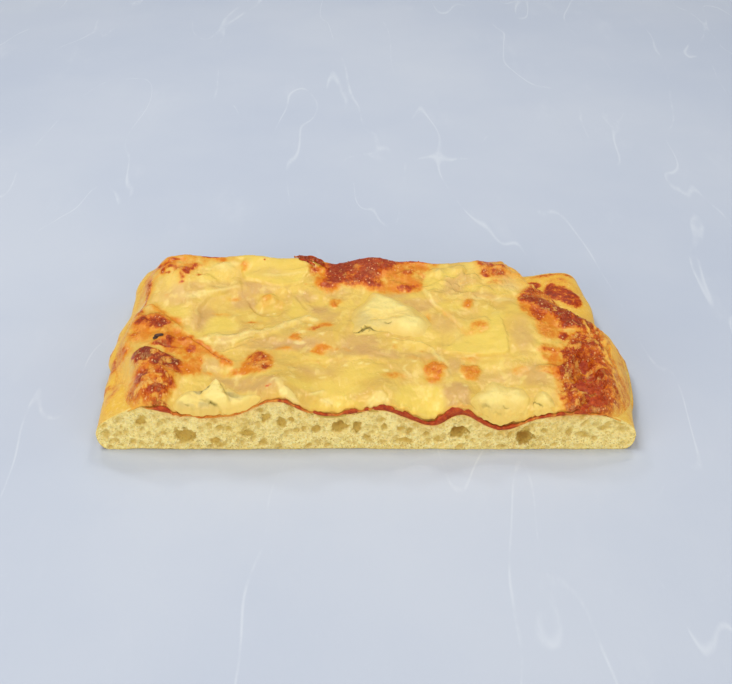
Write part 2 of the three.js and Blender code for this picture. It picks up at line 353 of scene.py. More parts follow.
bread = {
    "halfLength": 100.0,
    "height": 15.0,
    "bow": 3.4,
    "leftBow": (-4.0, 34.0),
    "rightBow": (-16.0, 24.0),
    "leftCorner": (0.5, 40.0, 16.0),
    "rightCorner": (5.6, -8.0, 62.0),
    "leftBumps": [
        (-5, 5, 0.8), (-14, 4, -1.9), (-33, 4, -0.4), (-21, 4, -0.6), (12, 4, 0.6), (26, 6, -0.8),
        (48, 5, 1.2), (44, 3, 0.3),
    ],
    "rightBumps": [
        (1.5, 5, 1.6), (-8, 5, 1.9), (9, 4, 1.6), (-22, 5, 0.3), (-38, 4, 0.2), (20, 4, -1.2), (34, 8, 1.6),
        (46, 5, 0.6),
    ],
    "wall": 6.7,
    "under": 4.5,
    "overLeft": 15.0,
    "overRight": 18.0,
    "squarer": 8.0,
    "swells": [
        (-82, -50, 11, 30, 4.2), (-33.5, -53, 11, 26, 7.5), (4, -53, 10, 24, 3), (35, -53, 6, 14, 2.2),
        (83, -50, 12, 30, 1.6), (-78, 50, 13, 24, 5), (-50, 54, 17, 20, 5.3), (-27, 56, 9, 14, 3),
        (4, 52, 9, 16, 2.8), (21, 52, 7, 14, 1.2), (46, 48, 10, 22, 1.4), (82, 54, 9, 18, -0.4),
        (91, 54, 5, 12, 0.8), (-18, -8, 24, 16, 1.6), (62, -2, 20, 22, 1.2),
    ],
    "hollows": [(24, -53, 8, 16, -4), (50, -53, 10, 18, -6), (70, 50, 7, 18, -2), (-44, 14, 20, 16, -1.6)],
    "columns": 250,
    "rows": 78,
    "cutSteps": 36,
    "bake": [  # toasted places on the bread itself
        ("patch", 0.85, 1.6, [(77, 37), (77.6, 41.4), (80, 44), (83.8, 42.4), (87.4, 40.8), (89.8, 36),
            (92.4, 30), (91, 27.4), (88, 25.4), (84.4, 25.6), (81.6, 28), (78.6, 30), (76, 32.6)]),
        ("patch", 0.9, 1.2, [(67, 48), (72, 47.4), (76, 45), (75.4, 42.4), (72, 41), (68, 43)]),
        ("spot", 0.3, 3, 84, 47, 6, 3, -20), ("spot", 0.12, 8, 82, 40, 12, 9, -20),
        ("line", 0.6, 1.3, [(72, 52.8), (78, 52.6), (86, 52.4), (92, 51.4)]),
        ("spot", 0.12, 8, 92, 20, 8, 12, 0),
        ("line", 0.5, 2, [(100.5, 3), (103, -8), (104, -20), (103, -32)]),
        ("spot", 0.2, 8, 98, -10, 6, 30, 0), ("spot", 0.16, 8, -95, -10, 6, 34, 0),
        ("spot", 0.5, 3, -99, -15, 4, 5, 0), ("line", 0.5, 2, [(-97, 44), (-95, 36), (-93.5, 28)]),
        ("spot", 0.5, 3, -86, 52, 5, 3, 0), ("spot", 0.3, 6, -84, 46, 8, 8, 0),
        ("spot", 0.35, 3, -97, -34, 2, 6, 0), ("line", 0.55, 1.6, [(66, 47), (70, 44), (74, 41)]),
        ("spot", 0.4, 1.6, -101, -30, 2, 3, 0), ("spot", 0.14, 5, -97, -42, 3, 6, 0),
        ("spot", 0.4, 1.6, -103.6, -4, 2, 3, 0), ("spot", 0.35, 1.4, -102.6, 7, 2, 2, 0),
    ],
    "relief": [
        ("patch", 0.9, 3, [(75, 34), (78, 38.6), (81.6, 41), (86.6, 39.4), (91, 35), (93.4, 30), (89, 27.6),
            (84, 28.6), (79, 31)]),
        ("spot", 0.8, 3, -98, -15, 4, 5, 0), ("spot", 0.6, 3, -95, -40, 4, 7, 0),
        ("spot", 0.5, 4, 97, -20, 4, 8, 0), ("spot", -0.5, 4, -96, -28, 3, 5, 0),
        ("spot", 0.5, 3, -94, 36, 3, 6, 0),
    ],
}


def rimReach(y, bow, corner):
    by, start, over = corner
    return bread["bow"] * bell((y - bow[0]) / bow[1]) - by * softStep((y - start) / over)


def leftEdge(y):
    bumps = sum(rise * bell((y - at) / reach) for at, reach, rise in bread["leftBumps"])
    return -bread["halfLength"] - rimReach(y, bread["leftBow"], bread["leftCorner"]) - bumps


def rightEdge(y):
    bumps = sum(rise * bell((y - at) / reach) for at, reach, rise in bread["rightBumps"])
    return bread["halfLength"] + rimReach(y, bread["rightBow"], bread["rightCorner"]) + bumps


def fromRims(x, y):
    return np.minimum(x - leftEdge(y), rightEdge(y) - x)


def overRims(x, y, height):
    tight = bread["squarer"] * softStep((y - 22) / 22)  # the two back corners are squarer than the rest
    share = np.minimum(
        roundOff((x - leftEdge(y)) / (bread["overLeft"] - tight)),
        roundOff((rightEdge(y) - x) / (bread["overRight"] - tight)))
    return bread["wall"] + (height - bread["wall"]) * share


def breadTop(x, y):
    baked = bread["height"] + swellAt(bread["swells"], x, y) + swellAt(bread["hollows"], x, y)
    rough = 0.35 * softNoise(x, y, 7, 3) * clamped(fromRims(x, y) / 3)
    return overRims(x, y, baked) + rough


def breadUnderside(x, y):
    return bread["wall"] * (1 - roundOff(fromRims(x, y) / bread["under"]))


def crowded(count, amount):  # shares from 0 to 1 that stand closer together at both ends
    share = np.linspace(0, 1, count)
    return share - amount * np.sin(2 * np.pi * share)


# The crumb that the two cuts open.

crumb = {
    "frontHoles": [  # x, z, half width, half height, depth, turn
        (-83.3, 12.6, 2.9, 2.0, 1.6, 20), (-67.6, 6.4, 4.4, 3.2, 2.3, -18), (-43.9, 7.3, 3.0, 1.7, 1.8, 10),
        (-37.5, 14.6, 1.7, 1.8, 1.5, 0), (-31.4, 12.2, 1.9, 2.3, 1.8, 15), (-27.6, 13.6, 1.4, 1.6, 1.2, 0),
        (-18.4, 9.0, 2.0, 1.8, 1.7, 30), (-22.7, 9.4, 1.1, 1.1, 1.2, 0), (-9.8, 10.2, 3.1, 2.3, 2.6, 35),
        (-3.4, 10.4, 1.9, 2.6, 2.2, -10), (0.4, 5.7, 1.4, 1.3, 1.3, 0), (13, 9.4, 1.8, 1.2, 1.4, 0),
        (7, 10.3, 1.2, 1.8, 1.2, 0), (14.9, 4.3, 1.4, 1.5, 1.6, 0), (34.3, 8.5, 3.1, 3.3, 3.4, -25),
        (37.6, 5.2, 1.0, 1.1, 1.1, 0), (58.8, 5.1, 3.2, 2.8, 3.4, 12), (75.2, 8.1, 1.6, 2.2, 1.0, 0),
        (88.5, 9.9, 2.8, 1.4, 0.9, 5), (-96.2, 7.1, 2.0, 2.2, 0.9, 0), (-92.9, 3.9, 1.5, 1.3, 0.9, 0),
        (-56.2, 4.3, 1.7, 1.9, 1.6, 0), (-90.3, 10.3, 1.1, 1.4, 0.8, 0), (-74.5, 13.2, 1.6, 1.1, 1.0, 0),
        (66, 8.2, 1.8, 1.3, 0.9, 20), (22.5, 7.2, 1.5, 1.2, 1.1, 0), (-51, 9.5, 1.3, 1.6, 1.1, 0),
        (45.5, 6.2, 1.6, 1.1, 1.0, 0), (81, 6.4, 1.4, 1.8, 0.9, 0),
    ],
    "backHoles": [
        (-72, 9.4, 3.6, 2.6, 2.6, 15), (-50, 12.5, 2.3, 1.9, 1.8, 0), (-36, 7.2, 3.2, 2.2, 2.2, -20),
        (-12, 10.6, 2.2, 2.6, 2.0, 0), (9, 7.4, 3.4, 2.2, 2.6, 12), (27, 10.9, 1.9, 1.6, 1.6, 0),
        (44, 8.3, 2.9, 2.9, 2.8, 30), (63, 6.6, 2.2, 1.7, 1.6, 0), (79, 9.6, 2.6, 1.6, 1.4, 10),
    ],
    "scattered": 820,
    "smallest": 0.4,
    "largest": 2.1,
    "skin": 0.9,
}


def crumbHoles(fixed, seed):  # the large holes as listed, then small ones wherever there is bread
    draw = np.random.default_rng(seed)
    holes = list(fixed)
    for _ in range(crumb["scattered"]):
        x, lift = draw.uniform(-98, 98), draw.uniform(0.04, 0.95)
        size = crumb["smallest"] + (crumb["largest"] - crumb["smallest"]) * draw.uniform() ** 2.2
        flat = draw.uniform(0.5, 0.9)
        holes.append((x, None, size, size * flat, size * draw.uniform(0.25, 0.6), draw.uniform(10, 70), lift))
    return holes


def crumbDepth(x, z, top, bottom, holes, seed):  # how far in the cut face lies, in millimetres
    depth = np.zeros(x.shape)
    rough = 0.28 * softNoise(x, z * 1.3, 1.9, seed) + 0.16 * softNoise(x, z, 0.9, seed + 1, 2)
    along, up = (0.42 * softNoise(x, z, 1.8, seed + 6 + i, 2) for i in range(2))
    for hole in holes:
        cx, cz, rx, rz, deep, turn = hole[:6]
        if cz is None:
            column = np.argmin(np.abs(x[0] - cx))
            cz = bottom[column] + hole[6] * (top[column] - bottom[column])
        columns = np.abs(x[0] - cx) < 1.5 * max(rx, rz)
        px, pz = turned((x + along)[:, columns] - cx, (z + up)[:, columns] - cz, turn)
        away = np.hypot(px / rx, pz / rz) * (1 + rough[:, columns])
        depth[:, columns] = np.maximum(depth[:, columns], deep * clamped(1 - away ** 2) ** 0.75)
    fromSkin = np.minimum(0.55 * (top[None, :] - z), z - bottom[None, :])
    return depth * softStep(np.minimum(fromSkin, fromRims(x, frontCut) * 0.8) / crumb["skin"])


frontSeed, backSeed = 21, 43


def cutWave(x, seed):  # the knife's line is not quite straight
    return 0.28 * softNoise(x, x * 0, 26, seed, 2) + 0.12 * softNoise(x, x * 0, 5, seed + 1, 2)


def makeBread():
    columns, rows, steps = bread["columns"], bread["rows"], bread["cutSteps"]
    labels = ("crumb", "hollow", "skin", "stain", "bake", "under")
    vertices, attributes, count = [], {label: [] for label in labels}, 0

    def addBlock(x, y, z, **values):
        nonlocal count
        vertices.append(asRows(x, y, z))
        for label in labels:
            attributes[label].append(np.broadcast_to(values.get(label, 0.0), x.shape).ravel())
        index = np.arange(count, count + x.size).reshape(x.shape)
        count += x.size
        return index

    def cutFace(cut, inward, holes, seed):
        share = crowded(2 * columns + 1, 0.035)
        x = spanned(leftEdge, rightEdge, cut, share)
        top, bottom = breadTop(x, x * 0 + cut), breadUnderside(x, x * 0 + cut)
        bottom = bottom + 0.5 * clamped(softNoise(x, x * 0, 14, seed + 5, 2) - 0.15)  # lifts off the table
        lift = np.linspace(0, 1, steps + 1)[:, None]
        gx, z = np.broadcast_to(x, (steps + 1, x.size)), bottom + (top - bottom) * lift
        hollow = crumbDepth(gx, z, top, bottom, crumbHoles(holes, seed), seed)
        grain = 0.10 * softNoise(gx, z, 1.1, seed + 2, 2) + 0.10 * softNoise(gx, z, 3.2, seed + 3, 2)
        fromSkin = np.minimum(top[None, :] - z, z - bottom[None, :])
        depth = hollow + (grain + 0.1) * softStep(fromSkin / 0.7)
        y = cut + inward * depth + cutWave(gx, seed)
        sauced = softStep((gx - sauceLeft(cut) + 3) / 6) * softStep((sauceRight(cut) + 3 - gx) / 6)
        stain = np.exp(-(top[None, :] - z) / 1.1) * sauced * (0.6 + 0.5 * softNoise(gx, z, 7, seed + 6, 2))
        return addBlock(
            gx, y, z, crumb=1.0, hollow=hollow, skin=np.exp(-np.maximum(fromSkin, 0) / 0.5),
            stain=clamped(stain))

    share = crowded(columns + 1, 0.035)
    y = frontCut + (backCut - frontCut) * crowded(rows + 1, 0.05)[1:-1, None]
    x = spanned(leftEdge, rightEdge, y, share)
    y = np.broadcast_to(y, x.shape)
    front = cutFace(frontCut, 1, crumb["frontHoles"], frontSeed)
    back = cutFace(backCut, -1, crumb["backHoles"], backSeed)
    wx, wy = ragged(x, y, *wander["bread"])
    top = addBlock(x, y, breadTop(x, y) + summed(bread["relief"], wx, wy),
        bake=layered(bread["bake"], wx, wy, 1.5))
    lifted = breadUnderside(x, y) + 0.12 * clamped(softNoise(x, y, 9, 44) + 0.4)
    under = addBlock(x, y, lifted, under=softStep(fromRims(x, y) / 3))
    faces = gridFaces(front) + gridFaces(back[:, ::-1])
    faces += gridFaces(top) + gridFaces(under[:, ::-1])
    faces += [f[::-1] for f in stitched(top[0], front[-1])] + stitched(top[-1], back[-1])
    faces += stitched(under[0], front[0]) + [f[::-1] for f in stitched(under[-1], back[0])]
    values = {label: np.concatenate(blocks) for label, blocks in attributes.items()}
    return np.vstack(vertices), faces, values


# What the sauce and the cheese share.

topping = {
    "sauceCoat": 1.05,
    "cheeseCoat": 3.4,
    "frontRoll": 9.0,
    "backRoll": 3.2,
    "lip": 0.55,
    "borderWidth": 11.0,
    "sauceAtCut": [  # x, reach along x, extra thickness: the red line is thicker in places
        (-74, 3.2, 1.9), (-60, 5, 0.3), (-50, 4, 0.2), (-27.5, 4.4, 1.2), (-14, 4.5, 1.3), (-5, 4, 1.2),
        (8, 6, 2.4), (17, 5, 1.8), (29, 6, 3.2), (34, 4, 1.4), (36.5, 4, 1.6), (42, 4, 1.6), (50, 4, 1.3),
        (59, 5, 0.5), (68, 6, 0.9), (79, 5, 0.9),
    ],
    "left": [  # the lines where the cheese and the sauce end
        (-80, -64), (-87, -54), (-91, -46), (-96, -30), (-101, -16), (-101, -2), (-100, 12), (-99, 34),
        (-97, 50), (-91, 66),
    ],
    "right": [
        (86, -64), (96, -50), (102.4, -36), (104.8, -18), (104.8, -6), (101, 3), (92.5, 11), (83, 22),
        (72, 36), (69, 48), (66, 66),
    ],
    "sauceLeft": [(-78, -64), (-81, -54), (-82, -36), (-84, 0), (-86, 30), (-82, 66)],
    "sauceRight": [(84, -64), (90, -50), (95, -30), (93, -6), (82, 14), (72, 32), (68, 48), (64, 66)],
    "bare": [  # the corner where the sauce shows
        (79, -55), (86, -52), (90, -46), (89, -38), (87, -28), (87, -20), (83, -18), (81, -24), (80, -34),
        (78, -40), (80, -47),
    ],
}


def edgeLine(points):
    line = smoothLine(points, steps=12)
    return lambda y: np.interp(y, line[:, 1], line[:, 0])


cheeseLeft, cheeseRight = edgeLine(topping["left"]), edgeLine(topping["right"])
sauceLeft, sauceRight = edgeLine(topping["sauceLeft"]), edgeLine(topping["sauceRight"])


def sauceCoat(x, y):
    atCut = sum(rise * bell((x - cx) / reach) for cx, reach, rise in topping["sauceAtCut"])
    lumps = 0.5 * softNoise(x, y, 3.4, 61) + 0.55 * softNoise(x, y, 1.5, 62, 2)
    nearFront = bell((y - frontCut) / 2.6)
    coat = topping["sauceCoat"] + (atCut - 0.5) * nearFront
    return np.maximum(0.15, coat + lumps * np.minimum(coat, 1.1))


# Marks: every patch, spot and line that shapes or colours a surface, listed one by one.

def markAt(mark, x, y):
    kind, amount, soft = mark[:3]
    shape = np.zeros(x.shape)
    if kind == "ledge":  # a step up on the line's left that sinks back over some distance
        line = smoothLine(mark[4], steps=5)
        local = near(line, x, y, mark[3])
        signed, along = sideDistance(line, x[local], y[local])
        ends = softStep(np.minimum(along, 1 - along) * 7)
        shape[local] = softStep(signed / soft + 0.5) * (1 - softStep(signed / mark[3])) * ends
        return amount * shape
    if kind == "spot":
        cx, cy, rx, ry, turn = mark[3:]
        px, py = turned(x - cx, y - cy, turn)
        away = np.hypot(px / rx, py / ry)
        return amount * softStep((1 - away) * min(rx, ry) / soft + 0.5)
    line = smoothLine(mark[3], closed=kind == "patch", steps=5)
    local = near(line, x, y, 2 * soft + 1)
    if kind == "patch":
        shape[local] = softStep(insideDistance(line, x[local], y[local]) / soft + 0.5)
    else:  # a line that thins out at both ends
        away, along = lineDistance(line, x[local], y[local])
        shape[local] = bell(away / soft) * np.sqrt(clamped(np.minimum(along, 1 - along) * 5 + 0.08))
    return amount * shape


wander = {  # how far edges stray, over what distance, and the seed
    "bread": (1.1, 5, 41),
    "blotches": (0.9, 5, 31),
    "outlines": (0.3, 4, 33),
    "bare": (1.5, 3.2, 35),
}


def ragged(x, y, amount, size, seed):  # the same places, shifted about so that edges wander
    return (
        x + amount * softNoise(x, y, size, seed) + 0.35 * amount * softNoise(x, y, size / 3, seed + 2),
        y + amount * softNoise(x, y, size, seed + 1) + 0.35 * amount * softNoise(x, y, size / 3, seed + 3),
    )


def bareShare(x, y, soft):  # the corner where the cheese is so thin that the sauce shows
    line = smoothLine(topping["bare"], closed=True, steps=5)
    return softStep(insideDistance(line, *ragged(x, y, *wander["bare"])) / soft + 0.5)


def layered(marks, x, y, softer=1.0):  # overlapping marks strengthen each other and stay below 1
    left = np.ones(x.shape)
    for mark in marks:
        left = left * (1 - markAt((mark[0], mark[1], mark[2] * softer, *mark[3:]), x, y))
    return 1 - left


def summed(marks, x, y):
    return sum(markAt(mark, x, y) for mark in marks)


blisterA = [(-89, -30), (-89.1, -23), (-87.1, -19), (-84.6, -17.4), (-82.2, -19.4), (-79.3, -21),
    (-75.9, -22.6), (-71.7, -25), (-70.4, -28.2), (-72.2, -32), (-74.7, -35), (-77.3, -37), (-80.6, -35),
    (-83.3, -33), (-86.1, -34.6)]
clusterB = [(-82.5, -35), (-85.8, -39.6), (-88.4, -44), (-87.8, -51), (-84, -53.6), (-77, -53.6),
    (-73.8, -49), (-71.7, -40), (-70.6, -33.4), (-76, -35.6)]
blisterC = [(-95.4, 8.8), (-92.9, 11.4), (-90.2, 8.6), (-88.2, 10.2), (-85.1, 10.8), (-81.7, 7.5),
    (-79, 1.2), (-80, -3.7), (-84.8, -2.4), (-88.2, -1), (-91.4, 2.3)]
amber = [(-79, -1), (-72.8, -4.2), (-67, -9.6), (-63.4, -15.7), (-62.4, -22), (-62.8, -28.4), (-64.4, -36),
    (-69.4, -33.4), (-70, -25.6), (-73.6, -21.8), (-78.3, -19), (-80, -10)]
spotR = [(-45.9, -28), (-44.9, -22.3), (-42.5, -18.4), (-39.6, -20.5), (-36.7, -27.1), (-36.6, -34.6),
    (-39.1, -36), (-43.3, -31.9)]
backBand = [(-17, 44), (-17, 50), (-8, 57), (2, 58), (14, 57), (26, 56), (25, 50.5), (16, 48), (9, 44),
    (4.5, 40), (7, 33), (4.6, 29.4), (-0.6, 31.4), (-4.3, 32), (-10.3, 32.4), (-14.6, 29.4), (-17, 29)]
redZone = [(77.6, -16), (81, -8), (85, -3.6), (89, -2.6), (92, -1.8), (92.2, -8.1), (93.6, -19.2),
    (95, -29.2), (95.6, -41.5), (93.2, -49.8), (88, -55.9), (76.4, -56.8), (73.4, -55.7), (71.6, -49.2),
    (72.4, -39.1), (72.9, -32.4), (75.6, -24.4)]
goldRim = [(87, 3), (92, 8), (100, 6), (106, 2), (107, -12), (106, -28), (104, -42), (98, -48), (94.4, -38),
    (92, -22), (90, -10)]
sideTop = [(69, 33), (73.7, 30.7), (80, 27), (83.4, 22.2), (86, 13), (89.3, 8.1), (94.9, 4.7), (98, 3),
    (93, -1.5), (87, -2.4), (83, -1), (79, 1.4), (76, 7), (72.6, 12), (68.6, 16.4), (64.4, 22)]
creaseP = [(-72.9, -3.8), (-67.7, -9.4), (-63.2, -14.6), (-59.1, -19.4), (-55.6, -23), (-53.1, -25.3),
    (-51.4, -27.7)]
slabO = [(-90.6, 18.4), (-86.9, 16.2), (-79.9, 7), (-73.1, -1.9)]
ridgeTop = [(-64.3, -8.4), (-60.7, -5.4), (-55.6, -7.4), (-50.9, -6.8), (-46.4, -4.2), (-41.6, -3.4),
    (-36.5, -2.2), (-33.1, 1.3), (-28.4, 4.4), (-23.6, 6.4), (-20.2, 3.1)]
ridgeLow = [(-57, -17), (-54.1, -15.7), (-49.6, -13.1), (-45.9, -10.5), (-41.3, -7.1)]
ring = [(-48.9, 21.9), (-47.8, 18.4), (-46.3, 15.4), (-43, 11.6), (-39.4, 9.8), (-36.1, 10.3),
    (-33.4, 13.5), (-32, 18.2), (-32.8, 24.3), (-35.5, 28.6), (-40.2, 30.4), (-44.4, 28.4), (-48, 25)]
ringCore = [(-45.4, 19.9), (-43.9, 24.4), (-41.2, 26), (-38.2, 25.4), (-37.2, 20.6), (-39.9, 17.4),
    (-43.1, 15.8)]
moundEdge = [(-51.4, 21.9), (-54.8, 26.6), (-58.2, 27.9), (-63.3, 24.1), (-66.6, 19.5), (-68.5, 14.2),
    (-67.6, 7), (-66.6, -3)]
mound = [(-65, 6), (-62.4, 9.4), (-55.6, 8.6), (-51.6, 3.6), (-51.2, -4.2), (-56.1, -6.9), (-61.8, -6.1),
    (-65.4, -2)]
backSlab = [(-54.4, 55), (-53.4, 42), (-51.3, 36.2), (-46, 34.6), (-40, 32.5), (-33.2, 32.3), (-28.2, 34.8),
    (-25.8, 39.9), (-24.3, 44.8), (-26.6, 49), (-29, 55)]
cheeseSlice = [(54.9, 10), (55.3, 1.3), (55.9, -8), (55.9, -15.6), (55, -18.6), (52, -20), (43.5, -20.2),
    (36.6, -19.4), (30.4, -17.8), (35.1, -11.8), (41.3, -7), (46, 1.9)]
sliceEdge = [(27, -14), (30.4, -18), (36.6, -19.6), (43.5, -20.4), (52, -20.1), (55.2, -18.8),
    (56.1, -15.6), (56, -8), (55.5, 1.3), (54, 10)]
domeEdge = [(19.6, 40), (21.4, 34), (23.7, 30), (25, 24.1), (28.2, 17), (30.8, 13), (33.5, 8.6), (36, 3.3),
    (38.5, -2.1), (42, -5.2), (47, -4), (50, 2)]
domeBack = [(40, 27), (50, 23), (60, 24.6), (69.6, 26.4), (71, 31), (69.8, 38), (66.6, 46), (62, 53)]
rightSlab = [(62, -30), (65.3, -13.3), (67.1, -4.1), (66.8, 6), (64.2, 15), (58, 20)]
patchEdge = [(31.6, -36), (31.6, -32.1), (29.6, -26.7), (28.7, -21.2), (25.9, -14.9), (21.3, -10.7),
    (13.5, -9.3), (5, -8.6)]
frontRound = [(10, -38), (9, -28), (1.5, -23.4), (-10, -24), (-21.6, -25), (-28.2, -30), (-30, -37)]
lightFront = [(12, -45.6), (14, -41), (20.2, -39.6), (27.7, -40.7), (28.6, -48.8), (26, -54), (12, -54)]
beigeFront = [(29.6, -40), (35.2, -39.4), (38.7, -44.4), (37, -53.6), (31, -54), (29.6, -49.1)]
skinEdge = [(-91.8, 28), (-91.9, 21.3), (-92.2, 15.1), (-92.3, 10.4)]
curveLine = [(-14.7, 23), (-13.3, 17.6), (-11.6, 15.1)]
archPatch = [(-31, -51.4), (-30.1, -54.4), (-27.5, -54.2), (-23.6, -54.6), (-26.5, -50.8), (-29.8, -48.8)]
toothPatch = [(0.2, -53.8), (3.4, -49.2), (6.4, -48.6), (8.9, -53.6), (5, -54.6)]
backFold = [(-53.6, 50), (-54, 42), (-52.6, 34), (-51.4, 27), (-49.2, 21.4)]
ringFold = [(-29.6, 25.6), (-27.1, 19.6), (-24.3, 13.4)]
lowStrand = [(86.6, -31), (90.5, -34.8), (94.7, -39.9), (96.6, -43)]
highStrand = [(88.6, -1), (92.4, -7.2), (95, -11.1), (97.5, -13)]
frontThread = [(-20.6, -48.6), (-18, -46), (-15.8, -43.6)]


def spots(amount, soft, *places):  # x, y, reach along x and y, and a turn where it is not 0
    return [("spot", amount, soft, *place, *([0] * (5 - len(place)))) for place in places]


